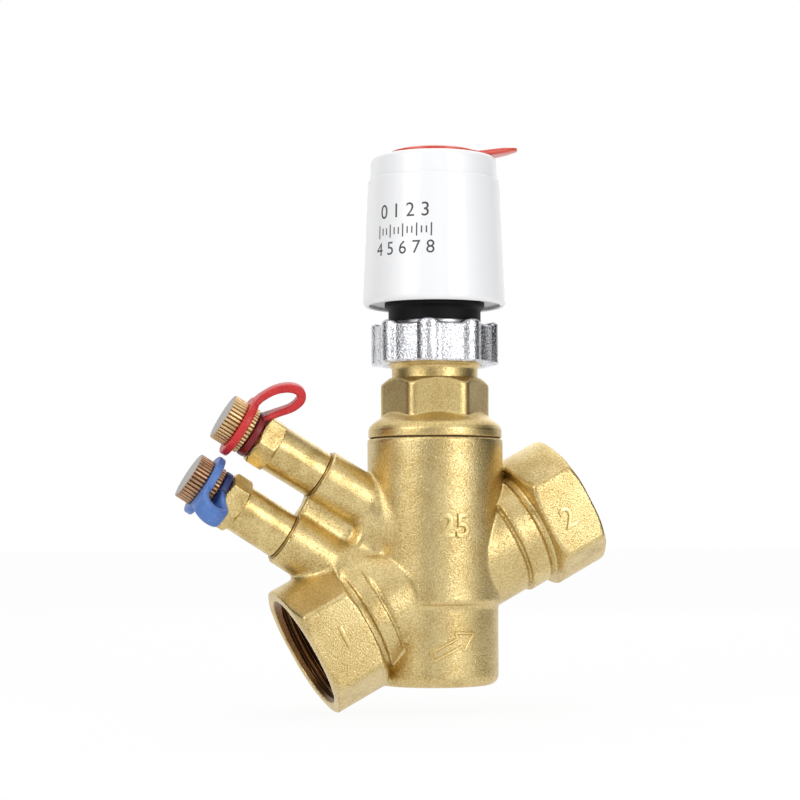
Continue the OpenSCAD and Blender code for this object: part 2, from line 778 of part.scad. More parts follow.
module stem() {
    color("silver") {
        translate([0, 0, stem_bottom]) cylinder(d = stem_d, h = stem_top - stem_bottom);
        translate([0, 0, stem_top - stem_head_height])
            cylinder(d = stem_head_d, h = stem_head_height);
    }
}

module control_plug() {
    color("gainsboro") tube(stem_bottom + fixed_gap, plug_disc_height, plug_disc_d,
        stem_d + 2 * fixed_gap);
}

module plug_seal() {
    color("black") translate([0, 0, plug_bottom])
        cylinder(d = plug_disc_d, h = plug_seal_thickness - fixed_gap);
}

module stem_seal() {
    color("black") oring(spring_pocket_bottom - seal_wire / 2 - face_gap / 2,
        stem_d + 2 * run_gap, seal_wire);
}

module return_spring() {
    color("silver") coil(spring_pocket_bottom + fixed_gap, stem_top - stem_head_height - fixed_gap,
        spring_pocket_d - spring_wire - 2 * spring_room, spring_wire, 5);
}

// Brass test plug: spigot in the boss, tube, hexagon and the neck that takes the cap
module test_plug(turn) {
    color("gold") difference() {
        union() {
            translate([0, 0, -spigot_length])
                cylinder(d = spigot_d - 2 * fixed_gap, h = spigot_length + tube_start + cut);
            translate([0, 0, tube_start])
                cylinder(d = plug_tube_d, h = plug_tube_length + cut);
            hex_prism(plug_hex_start, plug_hex_length, plug_flats, turn);
            translate([0, 0, plug_neck_start - cut])
                cylinder(d = plug_neck_d, h = plug_neck_length + cut);
        }
        translate([0, 0, -spigot_length - cut])
            cylinder(d = needle_hole_d, h = spigot_length + plug_neck_end + 2 * cut);
        translate([0, 0, plug_neck_end - core_length])
            cylinder(d = core_d, h = core_length + cut);
    }
}
module test_plug_upper() { on_upper_plug() test_plug(upper_plug_turn); }
module test_plug_lower() { on_lower_plug() test_plug(lower_plug_turn); }

// Rubber core that a needle pierces and that closes behind it
module plug_core() {
    color("black") translate([0, 0, plug_neck_end - core_length + fixed_gap])
        cylinder(d = core_d - 2 * fixed_gap, h = core_length - 2 * fixed_gap);
}
module plug_core_upper() { on_upper_plug() plug_core(); }
module plug_core_lower() { on_lower_plug() plug_core(); }

module plug_washer() {
    color("dimgray") tube(fixed_gap, washer_thickness - 2 * fixed_gap, washer_d, spigot_d);
}
module plug_washer_upper() { on_upper_plug() plug_washer(); }
module plug_washer_lower() { on_lower_plug() plug_washer(); }

// Points of a slot's outline: two half circles of radius r, length apart along the second axis
function slot_outline(r, length) = concat(
    arc([0, 0], r, 180, 360, loop_steps), arc([0, length], r, 0, 180, loop_steps));

// Strap's ring on the plug's neck, with the loop that leads to the cap's ring
module strap(turn, lean, reach) {
    ring_bore = plug_neck_d + 4 * run_gap;
    loop_r = loop_width / 2;
    loop_length = reach - neck_ring_d / 2;
    loop_middle = (neck_ring_start + cap_ring_start + strap_thickness) / 2 - loop_shift;
    tube(neck_ring_start, strap_thickness, neck_ring_d, ring_bore);
    rotate([0, 0, turn]) difference() {
        translate([neck_ring_d / 2, loop_depth / 2, loop_middle]) rotate([90, 0, 0])
            linear_extrude(loop_depth) rotate(-90 - lean) difference() {
                polygon(slot_outline(loop_r, loop_length - loop_r));
                polygon(slot_outline(loop_slot / 2, loop_length - loop_r));
            }
        // Room for the cap and its ring, also as they screw off
        translate([0, 0, cap_start - face_gap])
            cylinder(d = cap_ring_d + 6 * face_gap, h = cap_length + cap_lift);
        translate([0, 0, neck_ring_start + strap_thickness])
            cylinder(d = cap_d + 6 * face_gap, h = cap_length);
        translate([0, 0, plug_hex_start - cut])
            cylinder(d = plug_flats * corner_share + 4 * face_gap,
                h = plug_hex_length + cut + face_gap);
        translate([0, 0, plug_hex_start]) cylinder(d = ring_bore, h = plug_hex_length + cap_length);
    }
}
module strap_red() {
    color("red") on_upper_plug() strap(upper_loop_turn, upper_loop_lean, upper_strap_reach);
}
module strap_blue() {
    color("royalblue") on_lower_plug() strap(lower_loop_turn, lower_loop_lean, lower_strap_reach);
}

module strap_ring() {
    tube(cap_ring_start, strap_thickness, cap_ring_d, cap_groove_d + 4 * run_gap);
}
module strap_red_ring() { color("red") on_upper_plug() strap_ring(); }
module strap_blue_ring() { color("royalblue") on_lower_plug() strap_ring(); }

// Round bar with straight teeth, standing on the given level
module knurled(level, height) {
    outer = cap_d / 2;
    root = outer - knurl_depth;
    translate([0, 0, level]) linear_extrude(height) polygon([
        for (i = [0:2 * knurl_teeth - 1])
            let (a = 180 * i / knurl_teeth, r = i % 2 == 0 ? outer : root) [r * cos(a), r * sin(a)]
    ]);
}

module cap() {
    bore_depth = plug_neck_end - cap_start + 2 * face_gap;
    color("peru") difference() {
        union() {
            knurled(cap_start, cap_skirt);
            translate([0, 0, cap_start + cap_skirt - cut / 2])
                cylinder(d = cap_groove_d, h = cap_groove + cut);
            knurled(cap_start + cap_skirt + cap_groove, cap_length - cap_skirt - cap_groove);
        }
        translate([0, 0, cap_start - cut])
            cylinder(d = plug_neck_d + 2 * run_gap, h = bore_depth + cut);
    }
}
module cap_upper() { on_upper_plug() cap(); }
module cap_lower() { on_lower_plug() cap(); }

// Union nut with rounded grips, caught under the adapter's collar
module union_nut() {
    grip_r = grip_width / 2;
    color("silver") difference() {
        intersection() {
            translate([0, 0, nut_bottom]) linear_extrude(nut_height) union() {
                circle(d = nut_valley_d);
                for (i = [0:nut_grips - 1]) rotate(360 / nut_grips * (i + 0.5))
                    translate([nut_d / 2 - grip_r, 0]) circle(r = grip_r);
            }
            translate([0, 0, nut_bottom]) rotate_extrude() polygon([
                [0, 0], [nut_d / 2 - nut_chamfer, 0], [nut_d / 2, nut_chamfer],
                [nut_d / 2, nut_height - nut_chamfer], [nut_d / 2 - nut_chamfer, nut_height],
                [0, nut_height]
            ]);
        }
        translate([0, 0, nut_bottom - cut])
            cylinder(d = nut_bore_d, h = nut_shoulder - nut_bottom + cut);
        translate([0, 0, nut_shoulder - cut])
            cylinder(d = adapter_d + 4 * run_gap, h = nut_top - nut_shoulder + 2 * cut);
    }
}

// Flanged steel sleeve that the nut pulls down on the bonnet
module adapter_sleeve() {
    color("silver") {
        tube(adapter_bottom, adapter_flange_height, adapter_flange_d, adapter_bore_d);
        tube(adapter_bottom, base_disc_bottom - fixed_gap - adapter_bottom, adapter_d,
            adapter_bore_d);
    }
}

// Black collar between the nut and the housing
module actuator_collar() {
    color("dimgray") difference() {
        union() {
            translate([0, 0, collar_bottom])
                cylinder(d = collar_d, h = base_disc_bottom - fixed_gap - collar_bottom);
            translate([0, 0, collar_top - collar_lip])
                cylinder(d = collar_lip_d, h = base_disc_bottom - fixed_gap - collar_top + collar_lip);
        }
        translate([0, 0, collar_bottom - cut])
            cylinder(d = adapter_d + 2 * fixed_gap, h = base_disc_bottom - collar_bottom + 2 * cut);
    }
}

// Plate that closes the housing from below, with the two posts of the bridge
module base_plate() {
    disc_r = housing_r(base_disc_top) - housing_wall - fixed_gap;
    post_height = bridge_bottom - base_disc_bottom - fixed_gap;
    color("white") difference() {
        union() {
            translate([0, 0, base_disc_bottom])
                cylinder(r = disc_r, h = base_disc_top - base_disc_bottom);
            for (side = [-1, 1])
                translate([side * (bridge_length - bridge_post_length) / 2 - bridge_post_length / 2,
                    -bridge_width, base_disc_bottom])
                    cube([bridge_post_length, 2 * bridge_width, post_height]);
        }
        translate([0, 0, base_disc_bottom - cut])
            cylinder(d = plunger_d + 2 * run_gap, h = base_disc_top - base_disc_bottom + 2 * cut);
    }
}

// Steel bar through the plunger's slot, with the pin that the wax pushes against
module reaction_bridge() {
    color("silver") translate([0, 0, bridge_bottom]) {
        translate([-bridge_length / 2, -bridge_width / 2, 0])
            cube([bridge_length, bridge_width, bridge_height]);
        cylinder(d = bridge_pin_d, h = bridge_height + bridge_pin_height);
    }
}

module plunger() {
    color("white") difference() {
        translate([0, 0, plunger_bottom]) cylinder(d = plunger_d, h = plunger_top - plunger_bottom);
        translate([-plunger_d, -bridge_width / 2 - face_gap, slot_bottom])
            cube([2 * plunger_d, bridge_width + 2 * face_gap, slot_top - slot_bottom]);
        translate([0, 0, slot_bottom])
            cylinder(d = bridge_pin_d + 2 * run_gap, h = plunger_top - slot_bottom + cut);
    }
}

module wax_element() {
    color("gold") difference() {
        union() {
            translate([0, 0, wax_bottom + fixed_gap])
                cylinder(d = wax_flange_d, h = wax_flange_height);
            translate([0, 0, wax_bottom + fixed_gap])
                cylinder(d = wax_d, h = wax_height - fixed_gap);
        }
        translate([0, 0, wax_bottom - cut])
            cylinder(d = bridge_pin_d + 2 * run_gap, h = wax_bore_depth + cut);
    }
}

module heater_disc() {
    color("dimgray") translate([0, 0, wax_top + fixed_gap]) cylinder(d = heater_d, h = heater_height);
}

module closing_spring() {
    color("silver") coil(wax_bottom + wax_flange_height + 2 * fixed_gap, cover_ceiling - fixed_gap,
        closing_mean_d, closing_wire, 6);
}

// White tapered shell, open below and at the seam, with the hole of the cable inlet
module housing() {
    outer_low = housing_r(housing_bottom);
    outer_high = housing_r(seam);
    color("white") difference() {
        rotate_extrude() polygon([
            [outer_low - housing_wall, housing_bottom], [outer_low - housing_lip, housing_bottom],
            [outer_low, housing_bottom + housing_lip], [outer_high, seam],
            [outer_high - housing_wall, seam]
        ]);
        translate([0, 0, inlet_level]) rotate([-90, 0, 0])
            cylinder(d = inlet_tube_d + 2 * fixed_gap, h = housing_bottom_d);
    }
}

// Top cover that steps in above the seam and plugs into the housing
module top_cover() {
    spigot_r = housing_r(seam) - housing_wall - fixed_gap;
    low_r = housing_r(seam) - cover_step;
    high_r = housing_r(housing_top) - cover_step;
    color("white") difference() {
        rotate_extrude() polygon(concat(
            [[0, cover_ceiling], [spigot_r - housing_wall, cover_ceiling],
                [spigot_r - housing_wall, seam - cover_spigot], [spigot_r, seam - cover_spigot],
                [spigot_r, seam + fixed_gap], [low_r, seam + fixed_gap]],
            arc([high_r - cover_round, housing_top - cover_round], cover_round, 0, 90, arc_steps),
            [[0, housing_top]]
        ));
        translate([0, 0, cover_ceiling - cut])
            cylinder(d = lever_pin_d + 2 * fixed_gap, h = cover_wall + 2 * cut);
    }
}

// Red lever: a shallow dome on the cover with a tab that stands out over its edge
module lever() {
    r = lever_d / 2;
    tab_start = r - lever_tab_end;
    tab_slope = atan(lever_tab_rise / (lever_reach - tab_start));
    color("red") translate([0, 0, lever_bottom]) difference() {
        union() {
            rotate_extrude() polygon([
                [0, 0], [r, 0], [r, lever_thickness], [r * 0.7, lever_thickness + lever_dome / 2],
                [r * 0.35, lever_thickness + lever_dome * 0.9], [0, lever_thickness + lever_dome]
            ]);
            translate([tab_start, 0, 0]) rotate([0, -tab_slope, 0]) {
                translate([0, -lever_tab_width / 2, 0])
                    cube([lever_reach - tab_start - lever_tab_end, lever_tab_width, lever_thickness]);
                translate([lever_reach - tab_start - lever_tab_width / 2, 0, 0])
                    cylinder(d = lever_tab_width, h = lever_thickness);
            }
        }
        translate([0, 0, -cut])
            cylinder(d = lever_pin_d + 2 * run_gap, h = lever_thickness + lever_dome + 2 * cut);
    }
}

module lever_pin() {
    top = lever_bottom + lever_thickness + lever_dome + face_gap;
    color("dimgray") {
        translate([0, 0, cover_ceiling - lever_pin_d])
            cylinder(d = lever_pin_d, h = top + lever_pin_d - cover_ceiling + lever_head_height / 2);
        translate([0, 0, top]) cylinder(d = lever_head_d, h = lever_head_height);
    }
}

// Rubber grommet at the back of the housing, where a cable would enter
module cable_inlet() {
    wall_r = housing_r(inlet_level);
    color("black") translate([0, 0, inlet_level]) rotate([-90, 0, 0]) difference() {
        union() {
            translate([0, 0, wall_r - housing_wall - inlet_inside])
                cylinder(d = inlet_tube_d, h = housing_wall + inlet_inside + inlet_stand_out);
            translate([0, 0, wall_r + inlet_flange_gap])
                cylinder(d = inlet_flange_d, h = inlet_stand_out - inlet_flange_gap);
        }
        translate([0, 0, wall_r - housing_wall - inlet_inside - cut])
            cylinder(d = cable_bore_d, h = housing_wall + inlet_inside + inlet_stand_out + 2 * cut);
    }
}

body_casting();
bonnet();
bonnet_gasket();
bonnet_oring();
seat_ring();
regulator_guide();
diaphragm();
diaphragm_clamp();
regulator_cup();
regulator_spring();
preset_spindle();
preset_dial();
preset_sleeve();
spindle_seal();
stem();
control_plug();
plug_seal();
stem_seal();
return_spring();
test_plug_upper();
test_plug_lower();
plug_core_upper();
plug_core_lower();
plug_washer_upper();
plug_washer_lower();
strap_red();
strap_blue();
strap_red_ring();
strap_blue_ring();
cap_upper();
cap_lower();
union_nut();
adapter_sleeve();
actuator_collar();
base_plate();
reaction_bridge();
plunger();
wax_element();
heater_disc();
closing_spring();
housing();
top_cover();
lever();
lever_pin();
cable_inlet();
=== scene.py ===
"""Looks of a pressure independent control valve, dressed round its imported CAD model.

Sizes in the classes are millimetres in the CAD's frame: +Z runs up the stem, the ports' axis
lies in the XZ plane, and the origin is the point where it crosses the stem's axis.
"""
import json
import logging
import math
from dataclasses import dataclass, field
from enum import Enum
from typing import Callable, Sequence

import bmesh
import bpy
import numpy as np
from mathutils import Matrix, Vector


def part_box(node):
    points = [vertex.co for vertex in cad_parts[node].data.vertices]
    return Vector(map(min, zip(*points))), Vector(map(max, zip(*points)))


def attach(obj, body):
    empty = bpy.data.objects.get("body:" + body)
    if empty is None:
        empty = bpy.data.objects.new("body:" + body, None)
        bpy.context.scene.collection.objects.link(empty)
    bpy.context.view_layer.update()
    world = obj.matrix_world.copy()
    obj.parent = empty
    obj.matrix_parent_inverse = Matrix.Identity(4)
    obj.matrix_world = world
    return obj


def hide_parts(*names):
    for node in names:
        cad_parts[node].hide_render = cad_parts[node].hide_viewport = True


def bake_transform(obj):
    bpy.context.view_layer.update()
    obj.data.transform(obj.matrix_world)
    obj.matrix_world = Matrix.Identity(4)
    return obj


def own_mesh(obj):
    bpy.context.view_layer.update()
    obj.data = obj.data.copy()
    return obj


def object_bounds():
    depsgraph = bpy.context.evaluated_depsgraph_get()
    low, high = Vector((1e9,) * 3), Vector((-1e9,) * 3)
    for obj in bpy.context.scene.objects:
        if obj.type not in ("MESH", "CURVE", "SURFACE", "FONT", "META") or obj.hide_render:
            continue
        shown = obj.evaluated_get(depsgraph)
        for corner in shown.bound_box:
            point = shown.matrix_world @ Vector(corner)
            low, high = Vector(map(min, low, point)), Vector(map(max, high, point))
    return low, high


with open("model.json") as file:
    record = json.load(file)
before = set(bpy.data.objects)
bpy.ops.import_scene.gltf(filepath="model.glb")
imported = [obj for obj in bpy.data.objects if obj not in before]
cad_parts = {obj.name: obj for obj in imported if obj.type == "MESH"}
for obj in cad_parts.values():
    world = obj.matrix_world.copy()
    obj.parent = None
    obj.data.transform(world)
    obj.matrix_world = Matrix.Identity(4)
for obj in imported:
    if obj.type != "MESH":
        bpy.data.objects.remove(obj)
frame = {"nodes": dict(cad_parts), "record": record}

LOG = logging.getLogger("valve")
MM = 0.001
CAD_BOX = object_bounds()
Array = np.ndarray
Color = tuple[float, float, float]


class Body(str, Enum):
    """Bodies of the CAD model that a piece can ride on."""

    VALVE = "valve_body"
    ACTUATOR = "actuator"
    NUT = "nut"
    PLUNGER = "plunger_body"
    LEVER = "lever_body"
    UPPER_RING = "upper_ring"
    UPPER_CAP = "upper_cap"
    LOWER_RING = "lower_ring"
    LOWER_CAP = "lower_cap"


class Slot(str, Enum):
    """Material slots of the record."""

    CAST_BRASS = "cast_brass"
    TURNED_BRASS = "turned_brass"
    BRONZE = "bronze"
    BRIGHT = "bright_metal"
    STEEL = "steel"
    WHITE = "white_plastic"
    BLACK = "black_plastic"
    RED = "red_plastic"
    INNER = "inner_plastic"
    FIBRE = "fibre"
    RUBBER = "seal_rubber"
    RED_STRAP = "red_strap"
    BLUE_STRAP = "blue_strap"


# Places and directions


@dataclass(frozen=True)
class Seat:
    """A local frame: its origin, and a tilt in degrees about +Y that turns its three axes.

    The third axis is the axis of the piece that sits there.
    """

    origin: tuple[float, float, float]
    tilt: float

    def axes(self) -> Array:
        """Returns the local axes as columns, for a turn of tilt degrees about +Y."""
        c, s = math.cos(math.radians(self.tilt)), math.sin(math.radians(self.tilt))
        return np.array([[c, 0, s], [0, 1, 0], [-s, 0, c]])

    def out(self, points: Array) -> Array:
        """Local points to the valve's frame.

        Args:
            points: array whose last axis holds x, y and z.

        Returns:
            The same points in the valve's frame.
        """
        return points @ self.axes().T + np.array(self.origin)

    def into(self, x: Array, y: Array, z: Array) -> tuple[Array, Array, Array]:
        """Points of the valve's frame to this one.

        Args:
            x: the points' first coordinates.
            y: their second coordinates.
            z: their third coordinates.

        Returns:
            Three arrays: the points' coordinates along this frame's axes.
        """
        a = self.axes()
        dx, dy, dz = x - self.origin[0], y - self.origin[1], z - self.origin[2]
        return tuple(dx * a[0, i] + dy * a[1, i] + dz * a[2, i] for i in range(3))


def along(slope: float, rise: float, reach: float) -> Seat:
    """Seat at the end of a boss that leaves the stem's axis at a slope towards -X.

    Args:
        slope: degrees above the horizontal.
        rise: height where the boss's axis meets the stem's axis.
        reach: distance from the stem's axis to the boss's end.

    Returns:
        The seat, with its axis out along the boss.
    """
    a = math.radians(slope)
    return Seat((-reach * math.cos(a), 0.0, rise + reach * math.sin(a)), slope - 90)


PORT_SLOPE = 28.5
STEM = Seat((0.0, 0.0, 0.0), 0.0)
INLET = Seat((0.0, 0.0, 0.0), 270 - PORT_SLOPE)
OUTLET = Seat((0.0, 0.0, 0.0), 90 - PORT_SLOPE)
UPPER_PLUG = along(31.0, 8.5, 41.0)
LOWER_PLUG = along(32.6, -17.3, 54.2)


# Meshes from arrays


def mesh_object(name: str, points: Array, faces: Array, crease: float = 40.0) -> bpy.types.Object:
    """Makes a smooth mesh object from points in millimetres.

    Args:
        name: name of the piece.
        points: array of n by 3, in the valve's frame.
        faces: array of m by 4 or m by 3 point numbers.
        crease: angle in degrees from which an edge stays sharp.

    Returns:
        The object, at the origin, with its place in its mesh.
    """
    mesh = bpy.data.meshes.new(name)
    sides = faces.shape[1]
    mesh.vertices.add(len(points))
    mesh.vertices.foreach_set("co", (points * MM).astype(np.float32).ravel())
    mesh.loops.add(faces.size)
    mesh.loops.foreach_set("vertex_index", faces.astype(np.int32).ravel())
    mesh.polygons.add(len(faces))
    mesh.polygons.foreach_set("loop_start", np.arange(0, faces.size, sides, dtype=np.int32))
    mesh.update(calc_edges=True)
    work = bmesh.new()
    work.from_mesh(mesh)
    bmesh.ops.remove_doubles(work, verts=work.verts, dist=2e-7)
    bmesh.ops.recalc_face_normals(work, faces=work.faces)
    work.to_mesh(mesh)
    work.free()
    mesh.polygons.foreach_set("use_smooth", np.ones(len(mesh.polygons), dtype=bool))
    mesh.set_sharp_from_angle(angle=math.radians(crease))
    obj = bpy.data.objects.new(name, mesh)
    bpy.context.scene.collection.objects.link(obj)
    return obj


def quads(rows: int, columns: int, wrap_rows: bool, wrap_columns: bool) -> Array:
    """Point numbers of the quads between neighbours of a rows by columns grid.

    Args:
        rows: number of rows of the grid.
        columns: number of columns.
        wrap_rows: whether the last row joins the first.
        wrap_columns: whether the last column joins the first.

    Returns:
        Array of quads by 4.
    """
    i = np.arange(rows if wrap_rows else rows - 1)[:, None]
    j = np.arange(columns if wrap_columns else columns - 1)[None, :]
    i2, j2 = (i + 1) % rows, (j + 1) % columns
    corners = [i * columns + j, i * columns + j2, i2 * columns + j2, i2 * columns + j]
    return np.stack(np.broadcast_arrays(*corners), -1).reshape(-1, 4)


def set_value(obj: bpy.types.Object, name: str, values: Array) -> None:
    """Stores one number per point under a name, for the piece's material to read."""
    layer = obj.data.attributes.new(name, "FLOAT", "POINT")
    layer.data.foreach_set("value", values.astype(np.float32))


def local_points(obj: bpy.types.Object, seat: Seat) -> tuple[Array, Array, Array]:
    """Reads a piece's points.

    Args:
        obj: the piece.
        seat: the frame in which its points are wanted.

    Returns:
        Three arrays: the points' coordinates in that frame, in millimetres.
    """
    co = np.zeros(len(obj.data.vertices) * 3, np.float32)
    obj.data.vertices.foreach_get("co", co)
    x, y, z = (co.reshape(-1, 3).astype(float) / MM).T
    return seat.into(x, y, z)


def rounded(corners: Sequence[tuple[float, float, float]], closed: bool, steps: int = 5) -> Array:
    """Outline through corners, each cut by a smooth arc of its own size.

    A corner P with size f is left by the curve (1-t)^2 A + 2t(1-t) P + t^2 B, where A and B lie
    f before and f after the corner on its two sides.

    Args:
        corners: each corner's two coordinates and its size f.
        closed: whether the last corner joins the first.
        steps: number of stretches in each arc.

    Returns:
        Array of points by 2.
    """
    p = np.array([c[:2] for c in corners], float)
    t = np.linspace(0, 1, steps + 1)[:, None]
    parts = []
    for k, (_, _, size) in enumerate(corners):
        if size == 0 or (not closed and k in (0, len(corners) - 1)):
            parts.append(p[k:k + 1])
            continue
        before, after = p[k - 1] - p[k], p[(k + 1) % len(p)] - p[k]
        a = p[k] + before / np.linalg.norm(before) * size
        b = p[k] + after / np.linalg.norm(after) * size
        parts.append((1 - t) ** 2 * a + 2 * t * (1 - t) * p[k] + t ** 2 * b)
    return np.concatenate(parts)


def refined(outline: Array, step: float) -> Array:
    """Adds points to an outline so that no two are further apart than step.

    Args:
        outline: points by 2.
        step: greatest distance between neighbours.

    Returns:
        Array of points by 2, with the old ones among them.
    """
    lengths = np.linalg.norm(np.diff(outline, axis=0), axis=1)
    counts = np.maximum(1, np.ceil(lengths / step)).astype(int)
    parts = [np.linspace(a, b, n, endpoint=False)
             for a, b, n in zip(outline[:-1], outline[1:], counts)]
    return np.concatenate(parts + [outline[-1:]])


def turned(name: str, outline: Array, seat: Seat, closed: bool, segments: int = 160,
           radius: Callable[[Array, Array, Array], Array] | None = None,
           crease: float = 40.0) -> bpy.types.Object:
    """Surface of revolution, whose radius may change with the angle.

    A point of the outline (r, z) and an angle a give (R cos a, R sin a, z) in the seat's frame,
    with R = radius(a, r, z), or R = r where no function is given.

    Args:
        name: name of the piece.
        outline: points by 2, radius and height, the solid on the left of its run.
        seat: frame whose third axis is the axis of revolution.
        closed: whether the outline is a ring; if not, it starts and ends on the axis.
        segments: number of steps round the axis.
        radius: function of the angle, the outline's radius and its height.
        crease: angle in degrees from which an edge stays sharp.

    Returns:
        The object.
    """
    a = np.linspace(0, 2 * np.pi, segments, endpoint=False)[:, None]
    r, z = outline[None, :, 0], outline[None, :, 1]
    big = radius(a, r, z) if radius else np.broadcast_to(r, (segments, len(outline)))
    grid = np.stack(np.broadcast_arrays(big * np.cos(a), big * np.sin(a), z), -1)
    faces = quads(segments, len(outline), True, closed)
    return mesh_object(name, seat.out(grid.reshape(-1, 3)), faces, crease)


def hexagon(angle: Array, flats: float, turn: float) -> Array:
    """Distance from a hexagon's centre to its edge.

    It is half the flats over the cosine of the angle from the middle of the nearest flat.

    Args:
        angle: angles in radians.
        flats: width across the flats.
        turn: angle in degrees of one corner.

    Returns:
        Array of distances.
    """
    from_corner = np.mod(angle - math.radians(turn), math.pi / 3)
    return flats / 2 / np.cos(from_corner - math.pi / 6)


def soft_min(a: Array, b: Array, k: float) -> Array:
    """Lesser of two arrays, with a bend of size k where they cross."""
    h = np.maximum(k - np.abs(a - b), 0) / k
    return np.minimum(a, b) - h * h * k / 4


def soft_max(a: Array, b: Array, k: float) -> Array:
    """Greater of two arrays, with a bend of size k where they cross."""
    return -soft_min(-a, -b, k)


def apply_modifiers(obj: bpy.types.Object, crease: float) -> None:
    """Puts the result of a piece's modifiers into its mesh.

    Args:
        obj: the piece.
        crease: angle in degrees from which an edge stays sharp.
    """
    bpy.context.view_layer.update()
    graph = bpy.context.evaluated_depsgraph_get()
    obj.data = bpy.data.meshes.new_from_object(obj.evaluated_get(graph))
    obj.modifiers.clear()
    obj.data.set_sharp_from_angle(angle=math.radians(crease))


# Distance fields, for the casting whose forms flow into each other


def rod(x: Array, y: Array, z: Array, r: float, low: float, high: float, edge: float) -> Array:
    """Distance to an upright cylinder with rounded edges.

    It is the distance in the (radial, axial) plane to a rectangle that is edge smaller all
    round, less edge.

    Args:
        x: first coordinates of the points.
        y: second coordinates.
        z: third coordinates, along the cylinder's axis.
        r: radius of the cylinder.
        low: height of its lower end.
        high: height of its upper end.
        edge: size of its rounded edges.

    Returns:
        Array of distances, below zero inside.
    """
    radial = np.hypot(x, y) - (r - edge)
    axial = np.maximum(low - z, z - high) + edge
    outside = np.hypot(np.maximum(radial, 0), np.maximum(axial, 0))
    return outside + np.minimum(np.maximum(radial, axial), 0) - edge


def block(x: Array, y: Array, z: Array, half: tuple[float, float, float], edge: float) -> Array:
    """Distance to a box about the origin with rounded edges.

    It is the distance to a box that is edge smaller all round, less edge.

    Args:
        x: first coordinates of the points.
        y: second coordinates.
        z: third coordinates.
        half: half of the box's three sizes.
        edge: size of its rounded edges.

    Returns:
        Array of distances, below zero inside.
    """
    q = [np.abs(v) - (h - edge) for v, h in zip((x, y, z), half)]
    outside = np.sqrt(sum(np.maximum(v, 0) ** 2 for v in q))
    return outside + np.minimum(np.maximum(np.maximum(q[0], q[1]), q[2]), 0) - edge


def skin(name: str, distance: Callable[[Array, Array, Array], Array], low: Array, high: Array,
         voxel: float, crease: float) -> bpy.types.Object:
    """Surface where a distance field is zero.

    Each cell of a grid that the surface crosses gets one point, the mean of the crossings on
    its twelve edges. Each grid edge that the surface crosses gets one quad, between the points
    of the four cells round it. Every point is then moved onto the surface along the field's
    gradient, by the distance over the gradient's length.

    Args:
        name: name of the piece.
        distance: field in millimetres, below zero inside the solid.
        low: lowest corner of the grid.
        high: highest corner.
        voxel: size of a cell.
        crease: angle in degrees from which an edge stays sharp.

    Returns:
        The object.
    """
    ticks = [np.arange(lo, hi + voxel, voxel, dtype=np.float32) for lo, hi in zip(low, high)]
    x, y, z = np.meshgrid(*ticks, indexing="ij", sparse=True)
    f = distance(x, y, z).astype(np.float32)
    cells = tuple(n - 1 for n in f.shape)
    total = np.zeros(cells + (3,), np.float32)
    count = np.zeros(cells, np.float32)
    crossings = []
    for axis in range(3):
        first = [slice(None)] * 3
        second = [slice(None)] * 3
        first[axis], second[axis] = slice(0, -1), slice(1, None)
        a, b = f[tuple(first)], f[tuple(second)]
        crossed = (a < 0) != (b < 0)
        share = np.where(crossed, a / np.where(crossed, a - b, 1), 0)
        crossings.append((crossed, a < 0))
        others = [k for k in range(3) if k != axis]
        for step_1 in (0, 1):
            for step_2 in (0, 1):
                part = [slice(None)] * 3
                part[others[0]] = slice(step_1, step_1 + cells[others[0]])
                part[others[1]] = slice(step_2, step_2 + cells[others[1]])
                hit = crossed[tuple(part)]
                count += hit
                total[..., axis] += share[tuple(part)]
                total[..., others[0]] += hit * step_1
                total[..., others[1]] += hit * step_2
    active = count > 0
    number = np.full(cells, -1, np.int64)
    number[active] = np.arange(active.sum())
    corner = np.argwhere(active)
    points = (corner + total[active] / count[active][:, None]) * voxel
    points = points.astype(float) + np.array([t[0] for t in ticks], float)
    faces = []
    for axis, (crossed, inside) in enumerate(crossings):
        u, v = [k for k in range(3) if k != axis]
        core = [slice(None)] * 3
        core[u], core[v] = slice(1, -1), slice(1, -1)
        where = np.argwhere(crossed[tuple(core)])
        where[:, u] += 1
        where[:, v] += 1
        flip = inside[tuple(where.T)] ^ (axis == 1)
        ring = []
        for du, dv in ((0, 0), (1, 0), (1, 1), (0, 1)):
            cell = where.copy()
            cell[:, u] -= du
            cell[:, v] -= dv
            ring.append(number[tuple(cell.T)])
        quad = np.stack(ring, 1)
        faces.append(np.where(flip[:, None], quad, quad[:, ::-1]))
    small, limit = voxel * 0.05, voxel * 0.5
    rounds, least_slope = 3, 0.3
    for _ in range(rounds):
        px, py, pz = points.T
        here = distance(px, py, pz)
        slope = np.stack([distance(px + small, py, pz) - here, distance(px, py + small, pz) - here,
                          distance(px, py, pz + small) - here], 1) / small
        length = np.maximum((slope ** 2).sum(1), least_slope)
        step = slope * (here / length)[:, None]
        points = points - np.clip(step, -limit, limit)
    return mesh_object(name, points, np.concatenate(faces), crease)


# Shaders


